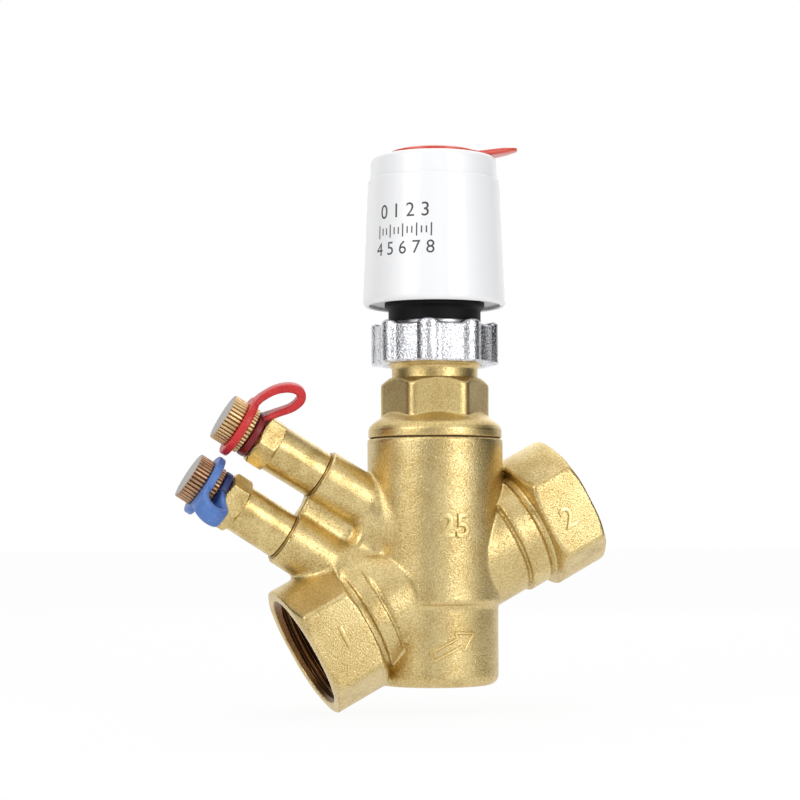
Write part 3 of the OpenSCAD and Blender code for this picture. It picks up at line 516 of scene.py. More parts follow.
class Value:
    """A shader number, so that sums and products can be written as they are in maths."""

    def __init__(self, graph: "Graph", socket: bpy.types.NodeSocket) -> None:
        """Wraps one output socket of a graph."""
        self.graph = graph
        self.socket = socket

    def _math(self, operation: str, *values: "Value | float") -> "Value":
        """Adds a Math node.

        Args:
            operation: the node's operation.
            values: its inputs in order.

        Returns:
            Its output.
        """
        inputs = dict(enumerate(values))
        node = self.graph.node("ShaderNodeMath", {"operation": operation}, inputs)
        return Value(self.graph, node.outputs[0])

    def __add__(self, other: "Value | float") -> "Value":
        """Sum."""
        return self._math("ADD", self, other)

    def __sub__(self, other: "Value | float") -> "Value":
        """Difference."""
        return self._math("SUBTRACT", self, other)

    def __rsub__(self, other: "Value | float") -> "Value":
        """Difference from a number, as in 1 - mask."""
        return self._math("SUBTRACT", other, self)

    def __mul__(self, other: "Value | float") -> "Value":
        """Product."""
        return self._math("MULTIPLY", self, other)

    __radd__ = __add__
    __rmul__ = __mul__

    def ramp(self, low: float, high: float) -> "Value":
        """Returns 0 below low, 1 above high and a smooth rise between them."""
        node = self.graph.node("ShaderNodeMapRange", {"interpolation_type": "SMOOTHSTEP"},
                               {"Value": self, "From Min": low, "From Max": high})
        return Value(self.graph, node.outputs[0])


class Graph:
    """The nodes of one material."""

    def __init__(self, name: str) -> None:
        """Starts an empty material with its output node.

        Args:
            name: name of the material.
        """
        self.material = bpy.data.materials.new(name)
        self.material.use_nodes = True
        self.material.node_tree.nodes.clear()
        self.output = self.node("ShaderNodeOutputMaterial", {}, {})
        self.place = self.node("ShaderNodeTexCoord", {}, {}).outputs["Object"]

    def node(self, kind: str, settings: dict, inputs: dict) -> bpy.types.Node:
        """Adds a node.

        Args:
            kind: the node's type.
            settings: properties of the node, set first.
            inputs: numbers, colours, Values or sockets, by the input's name or number.

        Returns:
            The node.
        """
        tree = self.material.node_tree
        made = tree.nodes.new(kind)
        for key, value in settings.items():
            setattr(made, key, value)
        for key, value in inputs.items():
            target = made.inputs[key]
            source = value.socket if isinstance(value, Value) else value
            if isinstance(source, bpy.types.NodeSocket):
                tree.links.new(source, target)
            else:
                target.default_value = source
        return made

    def noise(self, size: float, detail: float = 2.0, stretch: Color = (1, 1, 1)) -> Value:
        """Adds noise.

        Args:
            size: about how large its lumps are, in millimetres.
            detail: how many finer layers lie on the lumps.
            stretch: how much longer the lumps are along each axis.

        Returns:
            The noise, about 0.5 with most of it between 0.3 and 0.7.
        """
        place = self.place
        if stretch != (1, 1, 1):
            scale = tuple(1 / s for s in stretch)
            place = self.node("ShaderNodeMapping", {}, {0: place, "Scale": scale}).outputs[0]
        made = self.node("ShaderNodeTexNoise", {},
                         {"Vector": place, "Scale": 1 / (size * MM), "Detail": detail})
        return Value(self, made.outputs[0])

    def cells(self, size: float) -> Value:
        """Distance to the nearest point of a random scatter, about size millimetres apart."""
        made = self.node("ShaderNodeTexVoronoi", {},
                         {"Vector": self.place, "Scale": 1 / (size * MM)})
        return Value(self, made.outputs["Distance"])

    def attribute(self, name: str) -> Value:
        """A number stored on the piece's points."""
        made = self.node("ShaderNodeAttribute", {"attribute_name": name}, {})
        return Value(self, made.outputs["Fac"])

    def mix(self, share: Value, a: "Color | bpy.types.NodeSocket",
            b: "Color | bpy.types.NodeSocket") -> bpy.types.NodeSocket:
        """Blends two colours.

        Args:
            share: 0 for the first colour, 1 for the second.
            a: first colour.
            b: second colour.

        Returns:
            The blended colour.
        """
        def full(c: "Color | bpy.types.NodeSocket") -> "tuple | bpy.types.NodeSocket":
            """Gives a plain colour its fourth number."""
            return (*c, 1.0) if isinstance(c, tuple) else c
        made = self.node("ShaderNodeMix", {"data_type": "RGBA"},
                         {0: share, 6: full(a), 7: full(b)})
        return made.outputs[2]

    def bump(self, height: Value, depth: float) -> bpy.types.NodeSocket:
        """Normal of a surface raised by height times depth millimetres."""
        made = self.node("ShaderNodeBump", {},
                         {"Height": height, "Distance": depth * MM, "Strength": 1.0})
        return made.outputs[0]

    def finish(self, color: "bpy.types.NodeSocket", roughness: Value,
               normal: bpy.types.NodeSocket, metal: float, coat: float = 0.0,
               specular: float = 0.5) -> bpy.types.Material:
        """Adds the surface shader.

        Args:
            color: the colour over the surface.
            roughness: the roughness over the surface.
            normal: the bumped normal.
            metal: 1 for metal, 0 for anything else.
            coat: share of a clear coat.
            specular: strength of the reflection where it isn't metal.

        Returns:
            The material.
        """
        shader = self.node("ShaderNodeBsdfPrincipled", {}, {
            "Base Color": color, "Roughness": roughness, "Normal": normal,
            "Metallic": metal, "Coat Weight": coat, "Specular IOR Level": specular})
        self.node_link(shader)
        return self.material

    def node_link(self, shader: bpy.types.Node) -> None:
        """Joins the shader to the material's output."""
        self.material.node_tree.links.new(shader.outputs[0], self.output.inputs[0])


@dataclass(frozen=True)
class BlastedBrass:
    """Brass with the fine grain and pits that shot blasting leaves, and a slow change of tone.

    grain is the size of the grain and depth its height, both in millimetres.
    """

    name: str
    light: Color = (0.78, 0.635, 0.32)
    dark: Color = (0.38, 0.235, 0.055)
    grain: float = 0.46
    depth: float = 0.085
    roughness: float = 0.35

    def material(self) -> bpy.types.Material:
        """Joins the finish's nodes.

        Returns:
            The material.
        """
        g = Graph(self.name)
        fine = g.noise(self.grain, 3.0)
        slow = g.noise(9.0, 2.0)
        pits = 1 - g.cells(self.grain * 3.1).ramp(0.05, 0.28)
        tone = slow.ramp(0.3, 0.75) * 0.3 + fine.ramp(0.36, 0.66) * 0.5 + pits * 0.2
        color = g.mix(tone, self.light, self.dark)
        rough = fine * 0.16 + slow * 0.08 + (self.roughness - 0.12)
        return g.finish(color, rough, g.bump(fine - pits * 0.6, self.depth), 1.0)


@dataclass(frozen=True)
class TurnedBrass:
    """Machined brass with a fine mottle and a few specks, depth millimetres high."""

    name: str
    light: Color = (0.75, 0.60, 0.28)
    dark: Color = (0.34, 0.205, 0.05)
    depth: float = 0.05
    roughness: float = 0.32

    def material(self) -> bpy.types.Material:
        """Joins the finish's nodes.

        Returns:
            The material.
        """
        g = Graph(self.name)
        fine = g.noise(0.5, 3.0)
        slow = g.noise(4.0, 3.0)
        specks = 1 - g.cells(1.3).ramp(0.04, 0.22)
        tone = slow.ramp(0.3, 0.75) * 0.45 + specks * 0.15 + fine.ramp(0.38, 0.66) * 0.4
        color = g.mix(tone, self.light, self.dark)
        rough = fine * 0.14 + slow * 0.10 + (self.roughness - 0.12)
        return g.finish(color, rough, g.bump(fine - specks * 0.5, self.depth), 1.0)


@dataclass(frozen=True)
class KnurledBronze:
    """Brown bronze, bright on the ridges and dark between them as painted shade in the knurl's
    valleys, with a grey end face.
    """

    name: str
    ridge: Color
    valley_shade: Color
    worn: Color
    face: Color = (0.40, 0.37, 0.34)

    def material(self) -> bpy.types.Material:
        """Joins the finish's nodes.

        Returns:
            The material.
        """
        g = Graph(self.name)
        fine = g.noise(0.3, 3.0)
        slow = g.noise(2.5, 2.0)
        height = g.attribute("ridge")
        # painted shade: the colour falls from the ridge colour to the dark one between the knurl's
        # ridges
        side = g.mix(height.ramp(0.1, 0.9), self.valley_shade, self.ridge)
        worn = g.mix(slow.ramp(0.35, 0.8) * 0.6, side, self.worn)
        color = g.mix(g.attribute("end_face"), worn, self.face)
        rough = fine * 0.2 + 0.3
        return g.finish(color, rough, g.bump(fine, 0.012), 1.0)


@dataclass(frozen=True)
class RoughChrome:
    """Plated casting whose coarse grain throws small dark and bright glints, and whose colour is
    darkened in clumps of the grain as painted dark glints.
    """

    name: str
    color: Color = (0.78, 0.785, 0.815)
    grain: float = 0.56
    depth: float = 0.16

    def material(self) -> bpy.types.Material:
        """Joins the finish's nodes.

        Returns:
            The material.
        """
        g = Graph(self.name)
        coarse = g.noise(self.grain, 2.0)
        fine = g.noise(self.grain * 0.45, 1.0)
        slow = g.noise(5.0, 1.0)
        # painted reflection: dark clumps of the grain are mixed into the colour as painted dark
        # glints
        painted_dark_glints = coarse.ramp(0.42, 0.6) * (slow.ramp(0.35, 0.6) * 0.75 + 0.25)
        color = g.mix(painted_dark_glints * 0.6, self.color, (0.24, 0.24, 0.27))
        rough = slow * 0.08 + 0.1
        return g.finish(color, rough, g.bump(coarse + fine * 0.4, self.depth), 1.0)


@dataclass(frozen=True)
class Moulded:
    """Moulded plastic or rubber: colour mottled a little, with a fine surface grain, and on straps a
    painted shade near the neck.
    """

    name: str
    color: Color
    shade: Color
    roughness: float = 0.35
    grain: float = 0.6
    depth: float = 0.006
    coat: float = 0.0
    flecks: float = 0.0
    specular: float = 0.5
    neck_shade_color: Color | None = None

    def material(self) -> bpy.types.Material:
        """Joins the finish's nodes.

        Returns:
            The material.
        """
        g = Graph(self.name)
        fine = g.noise(self.grain, 2.0)
        slow = g.noise(7.0, 2.0)
        tone = slow.ramp(0.3, 0.8) * 0.6 + fine * 0.25
        color = g.mix(tone, self.color, self.shade)
        if self.flecks:
            bright = (1 - g.cells(1.3).ramp(0.05, 0.24)) * self.flecks
            color = g.mix(bright, color, tuple(min(1.0, c + 0.3) for c in self.color))
        # painted shade: the strap is darkened towards its neck colour where the stored number says it
        # lies in the shade of the neck
        if self.neck_shade_color:
            color = g.mix(g.attribute("neck"), color, self.neck_shade_color)
        rough = fine * 0.12 + (self.roughness - 0.06)
        return g.finish(color, rough, g.bump(fine, self.depth), 0.0, self.coat, self.specular)


@dataclass(frozen=True)
class PlainSteel:
    """Drawn or turned steel of an inner piece, with fine lines and a change of sheen."""

    name: str
    color: Color = (0.62, 0.63, 0.65)

    def material(self) -> bpy.types.Material:
        """Joins the finish's nodes.

        Returns:
            The material.
        """
        g = Graph(self.name)
        lines = g.noise(0.3, 2.0, (8, 8, 0.6))
        slow = g.noise(4.0, 2.0)
        color = g.mix(slow * 0.4, self.color, (0.42, 0.43, 0.45))
        return g.finish(color, lines * 0.2 + 0.22, g.bump(lines, 0.008), 1.0)


class Shelf:
    """Holds the materials that the pieces share."""

    def __init__(self) -> None:
        """Makes every material once."""
        self.cast = BlastedBrass("cast_brass").material()
        # a lighter copy of the cast brass: painted highlight on the raised marks
        self.marks = BlastedBrass("raised_marks_painted_highlight", light=(0.86, 0.71, 0.36),
                                  dark=(0.56, 0.39, 0.13), depth=0.03).material()
        # brass darkened as painted shade for the thread inside the ports
        self.bore = BlastedBrass("thread_brass_painted_shade", light=(0.23, 0.115, 0.045),
                                 dark=(0.07, 0.03, 0.01), depth=0.02, roughness=0.36).material()
        self.bonnet = BlastedBrass("bonnet_brass", light=(0.78, 0.62, 0.29),
                                   dark=(0.42, 0.27, 0.08), depth=0.06).material()
        self.turned = TurnedBrass("turned_brass").material()
        # the second colour of each knurl is painted shade between its ridges
        golden = KnurledBronze("golden_knurl", (0.74, 0.52, 0.27), (0.20, 0.105, 0.04),
                               (0.46, 0.28, 0.12))
        brown = KnurledBronze("brown_knurl", (0.48, 0.29, 0.17), (0.13, 0.06, 0.03),
                              (0.26, 0.14, 0.075))
        self.caps = {Body.UPPER_CAP: golden.material(), Body.LOWER_CAP: brown.material()}
        self.chrome = RoughChrome("rough_chrome").material()
        self.white = Moulded("white_plastic", (0.88, 0.885, 0.895), (0.87, 0.875, 0.887),
                             roughness=0.32, coat=0.2, grain=0.9, depth=0.003).material()
        # a darker copy of the white plastic: painted shade for the white CAD nodes
        self.grey = Moulded("white_plastic_painted_shade", (0.62, 0.62, 0.63), (0.5, 0.5, 0.51)).material()
        self.black = Moulded("black_plastic", (0.004, 0.004, 0.005), (0.007, 0.007, 0.008),
                             roughness=0.55, depth=0.012, specular=0.18).material()
        self.red = Moulded("red_plastic", (0.72, 0.085, 0.05), (0.6, 0.06, 0.035),
                           roughness=0.34, coat=0.2).material()
        self.ink = Moulded("print_ink", (0.045, 0.045, 0.05), (0.09, 0.09, 0.095),
                           roughness=0.6).material()
        # the straps' darker neck colours are painted shade where they lie near the neck
        self.red_strap = Moulded("red_strap", (0.62, 0.028, 0.03), (0.44, 0.012, 0.016),
                                 roughness=0.36, depth=0.03, flecks=0.2, specular=0.4,
                                 neck_shade_color=(0.20, 0.008, 0.012)).material()
        self.blue_strap = Moulded("blue_strap", (0.11, 0.23, 0.56), (0.05, 0.12, 0.38),
                                  roughness=0.42, depth=0.03, flecks=0.45, specular=0.4,
                                  neck_shade_color=(0.02, 0.035, 0.15)).material()
        self.fibre = Moulded("fibre", (0.10, 0.06, 0.022), (0.05, 0.03, 0.01),
                             roughness=0.8, grain=0.4, depth=0.02).material()
        self.rubber = Moulded("seal_rubber", (0.02, 0.02, 0.02), (0.035, 0.035, 0.035),
                              roughness=0.6).material()
        self.inner = Moulded("inner_plastic", (0.62, 0.60, 0.54), (0.52, 0.50, 0.44)).material()
        self.steel = PlainSteel("plain_steel").material()
        self.washer = BlastedBrass("washer_brass", light=(0.42, 0.28, 0.10),
                                   dark=(0.24, 0.145, 0.045)).material()
        self.by_slot = {
            Slot.CAST_BRASS: self.cast, Slot.TURNED_BRASS: self.turned, Slot.BRONZE: self.steel,
            # white CAD nodes get the darker copy of the white plastic, as painted shade
            Slot.BRIGHT: self.chrome, Slot.STEEL: self.steel, Slot.WHITE: self.grey,
            Slot.BLACK: self.black, Slot.RED: self.red, Slot.INNER: self.inner,
            Slot.FIBRE: self.fibre, Slot.RUBBER: self.rubber,
            Slot.RED_STRAP: self.red_strap, Slot.BLUE_STRAP: self.blue_strap,
        }


@dataclass(frozen=True)
class Dresser:
    """Finishes pieces: gives them their material, body and the nodes they stand for."""

    shelf: Shelf

    def dress(self, obj: bpy.types.Object, material: bpy.types.Material, body: Body,
              nodes: Sequence[str] = (), blend_from: Body | None = None) -> bpy.types.Object:
        """Finishes one piece.

        Args:
            obj: the piece.
            material: its material.
            body: the body that it rides on; where blend_from is given, it is only named in the log.
            nodes: CAD nodes that it stands for.
            blend_from: if given, the piece's place is baked into its mesh and it rides on no body.

        Returns:
            The piece.
        """
        obj.data.materials.clear()
        obj.data.materials.append(material)
        if blend_from is None:
            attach(obj, body.value)
        else:
            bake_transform(obj)
        if nodes:
            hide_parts(*nodes)
        LOG.info("%s: %d faces on %s", obj.name, len(obj.data.polygons), body.value)
        return obj


# The casting


@dataclass
class PortEnd:
    """One threaded end of the casting, about its own axis from the stem outwards."""

    seat: Seat
    reach: float
    hex_length: float
    ring_length: float
    flats: float = 40.4
    groove_length: float = 2.2
    groove_r: float = 17.0
    ring_r: float = 17.7
    thin_groove: float = 1.1
    thin_groove_r: float = 16.2
    neck_r: float = 16.8
    bore_r: float = 16.95
    thread_length: float = 14.0
    deep_r: float = 15.2
    deep_length: float = 14.0
    lead_in: float = 2.0
    mouth_r: float = 17.0
    passage_r: float = 8.5
    passage_shift: float = 4.5
    passage_end: float = 13.0
    chamfer_r: float = 20.6
    edge: float = 0.5
    corner_bend: float = 1.0
    chamfer_bend: float = 0.6
    groove_edge: float = 0.2
    groove_bend: float = 0.5
    ring_edge: float = 0.45
    ring_bend: float = 0.35
    overlap: float = 1.0

    def outside(self, x: Array, y: Array, z: Array) -> tuple[Array, Array]:
        """Distances to the end's outside and to its neck.

        The hexagon has flats in front and behind and slanted flats beside them; above and below
        it is round. Its ends are cut by cones.

        Args:
            x: first coordinates of the points.
            y: second coordinates.
            z: third coordinates.

        Returns:
            Two arrays of distances.
        """
        u, v, t = self.seat.into(x, y, z)
        r = np.hypot(u, v)
        hex_start = self.reach - self.hex_length
        ring_end = hex_start - self.groove_length
        ring_start = ring_end - self.ring_length
        half = self.flats / 2
        slanted = math.cos(math.pi / 6) * np.abs(u) + 0.5 * np.abs(v) - half
        flat = soft_max(np.abs(v) - half, slanted, self.corner_bend)
        across = np.where(np.abs(v) < math.tan(math.pi / 6) * np.abs(u), r - half, flat)
        from_end = np.minimum(self.reach - t, t - hex_start)
        cone = (r - self.chamfer_r - from_end * math.sqrt(3)) / 2
        end = soft_max(soft_max(across, cone, self.chamfer_bend), -from_end, self.edge)
        groove = rod(u, v, t, self.groove_r, 0, hex_start + self.overlap, self.groove_edge)
        groove = np.maximum(groove, ring_start + self.overlap / 2 - t)
        ring = rod(u, v, t, self.ring_r, ring_start, ring_end, self.ring_edge)
        thin = rod(u, v, t, self.thin_groove_r, 0, ring_start + self.overlap, self.groove_edge)
        outer = soft_min(soft_min(end, groove, self.groove_bend), ring, self.ring_bend)
        outer = soft_min(outer, thin, self.ring_bend)
        neck = rod(u, v, t, self.neck_r, 0, ring_start - self.thin_groove, self.ring_edge)
        return outer, neck

    def inside(self, x: Array, y: Array, z: Array) -> Array:
        """Distance to the hollow: the thread's room and the passage off the axis.

        Args:
            x: first coordinates of the points.
            y: second coordinates.
            z: third coordinates.

        Returns:
            Array of distances, below zero inside the hollow.
        """
        u, v, t = self.seat.into(x, y, z)
        r = np.hypot(u, v)
        floor = self.reach - self.lead_in - self.thread_length
        bore = np.maximum(r - self.bore_r, floor - t)
        deep = self.reach - self.lead_in - self.deep_length
        bore = np.minimum(bore, np.maximum(r - self.deep_r, deep - t))
        passage = np.hypot(u + self.passage_shift, v) - self.passage_r
        passage = np.maximum(np.maximum(passage, self.passage_end - t), t - deep - self.overlap)
        return np.minimum(bore, passage)


@dataclass
class Casting:
    """The cast body: two coaxial drums, the port ends, the bosses of the test plugs and a web."""

    upper_r: float = 20.0
    lower_r: float = 18.6
    top: float = 40.6
    ledge: float = -7.6
    bottom: float = -31.9
    bottom_round: float = 3.0
    upper_room_r: float = 16.3
    lower_room_r: float = 14.5
    floor: float = -27.5
    partition: float = 3.0
    seat_r: float = 10.0
    boss_r: float = 8.3
    boss_start: float = -38.0
    upper_crease: float = -15.6
    lower_crease: float = -15.3
    flare: float = 0.36
    flare_length: float = 9.0
    flare_bend: float = 0.5
    flare_share: float = 0.93
    web_drop: float = 11.0
    web_back: float = 18.0
    web_half: tuple[float, float, float] = (11.0, 2.3, 17.6)
    web_round: float = 0.6
    pad_drop: float = 10.5
    pad_back: float = 24.0
    pad_half: tuple[float, float, float] = (8.0, 6.5, 7.0)
    pad_round: float = 3.0
    spigot_r: float = 5.0
    spigot_room: float = 11.0
    top_edge: float = 0.7
    boss_edge: float = 0.5
    room_edge: float = 0.1
    ledge_overlap: float = 4.0
    voxel: float = 0.56
    crease: float = 50.0
    most_triangles: float = 190000
    step_bend: float = 1.8
    neck_bend: float = 0.4
    boss_bend: float = 1.8
    lower_boss_bend: float = 2.2
    web_bend: float = 1.2
    pad_bend: float = 3.0
    end_bend: float = 0.6
    inlet: PortEnd = field(default_factory=lambda: PortEnd(INLET, 45.7, 17.0, 4.8))
    outlet: PortEnd = field(
        default_factory=lambda: PortEnd(OUTLET, 47.4, 15.4, 6.4, thread_length=12.2))

    def distance(self, x: Array, y: Array, z: Array) -> Array:
        """Distance to the casting: its forms joined with soft bends, less its hollows.

        Args:
            x: first coordinates of the points.
            y: second coordinates.
            z: third coordinates.

        Returns:
            Array of distances, below zero inside the metal.
        """
        upper = rod(x, y, z, self.upper_r, self.ledge, self.top, self.top_edge)
        lower_top = self.ledge + self.ledge_overlap
        lower = rod(x, y, z, self.lower_r, self.bottom, lower_top, self.bottom_round)
        solid = soft_min(upper, lower, self.step_bend)
        a, b = UPPER_PLUG.into(x, y, z), LOWER_PLUG.into(x, y, z)
        web = block(a[0] + self.web_drop, a[1], a[2] + self.web_back, self.web_half,
                    self.web_round)
        pad = block(a[0] + self.pad_drop, a[1], a[2] + self.pad_back, self.pad_half,
                    self.pad_round)
        upper_boss = soft_min(self.boss(*a, self.upper_crease), web, self.web_bend)
        lower_boss = soft_min(self.boss(*b, self.lower_crease), web, self.web_bend)
        solid = soft_min(soft_min(solid, upper_boss, self.boss_bend), pad, self.pad_bend)
        for end in (self.inlet, self.outlet):
            outer, neck = end.outside(x, y, z)
            solid = soft_min(solid, neck, self.neck_bend)
            solid = soft_min(solid, outer, self.end_bend)
        solid = soft_min(solid, lower_boss, self.lower_boss_bend)
        return np.maximum(solid, -self.rooms(x, y, z))

    def boss(self, u: Array, v: Array, s: Array, crease: float) -> Array:
        """Distance to a test plug's boss, which widens towards the drum.

        Past the crease the radius grows by flare times the softened distance from the crease,
        and the whole is made smaller by the cosine of that slope to stay a distance.

        Args:
            u: first coordinates in the plug's frame.
            v: second coordinates.
            s: third coordinates, along the plug.
            crease: place along the plug where the boss starts to widen.

        Returns:
            Array of distances.
        """
        past = np.minimum(crease - s, self.flare_length)
        wider = self.flare * (past + np.sqrt(past ** 2 + self.flare_bend)) / 2
        straight = rod(u, v, s, self.boss_r, self.boss_start, 0, self.boss_edge)
        return (straight - wider) * self.flare_share

    def rooms(self, x: Array, y: Array, z: Array) -> Array:
        """Distance to the hollows: the two rooms, the seat between them and the passages.

        Args:
            x: first coordinates of the points.
            y: second coordinates.
            z: third coordinates.

        Returns:
            Array of distances, below zero inside a hollow.
        """
        past, edge, wall = 5.0, self.room_edge, self.partition
        hollow = np.minimum(
            rod(x, y, z, self.upper_room_r, wall, self.top + past, edge),
            rod(x, y, z, self.lower_room_r, self.floor, -wall, edge))
        hollow = np.minimum(hollow, rod(x, y, z, self.seat_r, -wall - 1, wall + 1, edge))
        for seat in (UPPER_PLUG, LOWER_PLUG):
            u, v, s = seat.into(x, y, z)
            hollow = np.minimum(hollow, rod(u, v, s, self.spigot_r, -self.spigot_room, past, edge))
        for end in (self.inlet, self.outlet):
            hollow = np.minimum(hollow, end.inside(x, y, z))
        return hollow

    def build(self, dresser: Dresser) -> None:
        """Makes the casting and its two threads.

        Args:
            dresser: gives each piece its material and body.
        """
        low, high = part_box("body_casting")
        margin = 2 * self.voxel
        obj = skin("valve_casting", self.distance, np.array(low) / MM - margin,
                   np.array(high) / MM + margin, self.voxel, self.crease)
        thin = obj.modifiers.new("fewer_faces", "DECIMATE")
        thin.ratio = self.most_triangles / (2 * len(obj.data.polygons))
        apply_modifiers(obj, self.crease)
        dresser.dress(obj, dresser.shelf.cast, Body.VALVE, ["body_casting"])
        for name, end in (("inlet_thread", self.inlet), ("outlet_thread", self.outlet)):
            self.thread(dresser, name, end)

    def thread(self, dresser: Dresser, name: str, end: PortEnd, pitch: float = 2.309,
               crest_r: float = 15.15, depth: float = 1.35) -> None:
        """Makes one internal thread as a closed sleeve.

        At angle a and distance t the inner radius is the crest's radius plus the depth times a
        flattened triangle wave of t / pitch - a / (2 pi). At the mouth it widens to the lead-in.

        Args:
            dresser: gives it its material and body.
            name: name of the piece.
            end: the port end that it lines.
            pitch: distance from turn to turn.
            crest_r: least inner radius.
            depth: height of the thread.
        """
        steps, rows = 144, 130
        inset, fit = 0.35, 0.1
        top = end.reach - inset
        low = end.reach - end.lead_in - end.thread_length - fit
        a = np.linspace(0, 2 * np.pi, steps, endpoint=False)[:, None]
        t = np.linspace(low, top, rows)[None, :]
        phase = np.mod(t / pitch - a / (2 * np.pi), 1)
        wave = np.clip(1.25 - 2.5 * np.abs(phase - 0.5) - 0.1, 0, 1)
        mouth = np.clip((t - (top - end.lead_in)) / end.lead_in, 0, 1)
        inner = crest_r + depth * wave
        inner = np.maximum(inner, crest_r + (end.mouth_r - 0.25 - crest_r) * mouth)
        outer = np.full_like(inner, end.bore_r + fit)
        radius = np.concatenate([inner, outer[:, ::-1]], 1)
        height = np.concatenate([t, t[:, ::-1]], 1) + 0 * a
        grid = np.stack([radius * np.cos(a), radius * np.sin(a), height], -1)
        faces = quads(steps, 2 * rows, True, True)
        obj = mesh_object(name, end.seat.out(grid.reshape(-1, 3)), faces, 60.0)
        # the thread's dark brass is painted shade inside the port
        dresser.dress(obj, dresser.shelf.bore, Body.VALVE)


# Raised marks


def lettering(name: str, text: str, size: float, depth: float, soften: float) -> bpy.types.Object:
    """Plain numbers as a mesh in the XY plane, centred, with its face towards +Z.

    Args:
        name: name of the piece.
        text: the numbers.
        size: height of the figures in millimetres.
        depth: half the thickness.
        soften: size of the rounded edge.

    Returns:
        The object, in millimetres.
    """
    curve = bpy.data.curves.new(name, "FONT")
    curve.body = text
    curve.size = size
    curve.align_x = "CENTER"
    curve.align_y = "CENTER"
    curve.extrude = depth
    curve.bevel_depth = soften
    curve.bevel_resolution = 2
    curve.resolution_u = 6
    text_obj = bpy.data.objects.new(name + "_curve", curve)
    bpy.context.scene.collection.objects.link(text_obj)
    bpy.context.view_layer.update()
    graph = bpy.context.evaluated_depsgraph_get()
    mesh = bpy.data.meshes.new_from_object(text_obj.evaluated_get(graph))
    bpy.data.objects.remove(text_obj)
    obj = bpy.data.objects.new(name, mesh)
    mesh.name = name
    bpy.context.scene.collection.objects.link(obj)
    return obj


def move_points(obj: bpy.types.Object, place: Callable[[Array, Array, Array], Array]) -> None:
    """Moves a mesh's points, held in millimetres, and merges and turns out its faces.

    Args:
        obj: the piece, whose points are still in millimetres.
        place: gives the points' new places, n by 3 in millimetres, from their coordinates.
    """
    co = np.zeros(len(obj.data.vertices) * 3, np.float32)
    obj.data.vertices.foreach_get("co", co)
    x, y, z = co.reshape(-1, 3).astype(float).T
    moved = place(x, y, z) * MM
    obj.data.vertices.foreach_set("co", moved.astype(np.float32).ravel())
    work = bmesh.new()
    work.from_mesh(obj.data)
    bmesh.ops.remove_doubles(work, verts=work.verts, dist=1e-6)
    bmesh.ops.recalc_face_normals(work, faces=work.faces)
    work.to_mesh(obj.data)
    work.free()
    obj.data.polygons.foreach_set("use_smooth", np.ones(len(obj.data.polygons), dtype=bool))
    obj.data.set_sharp_from_angle(angle=math.radians(35))
    obj.data.update()


def subdivided(obj: bpy.types.Object, cuts: int) -> None:
    """Splits every edge of a mesh, so that it can follow a curved surface.

    Args:
        obj: the piece.
        cuts: number of new points on each edge.
    """
    work = bmesh.new()
    work.from_mesh(obj.data)
    bmesh.ops.triangulate(work, faces=work.faces)
    bmesh.ops.subdivide_edges(work, edges=work.edges, cuts=cuts, use_grid_fill=True)
    work.to_mesh(obj.data)
    work.free()


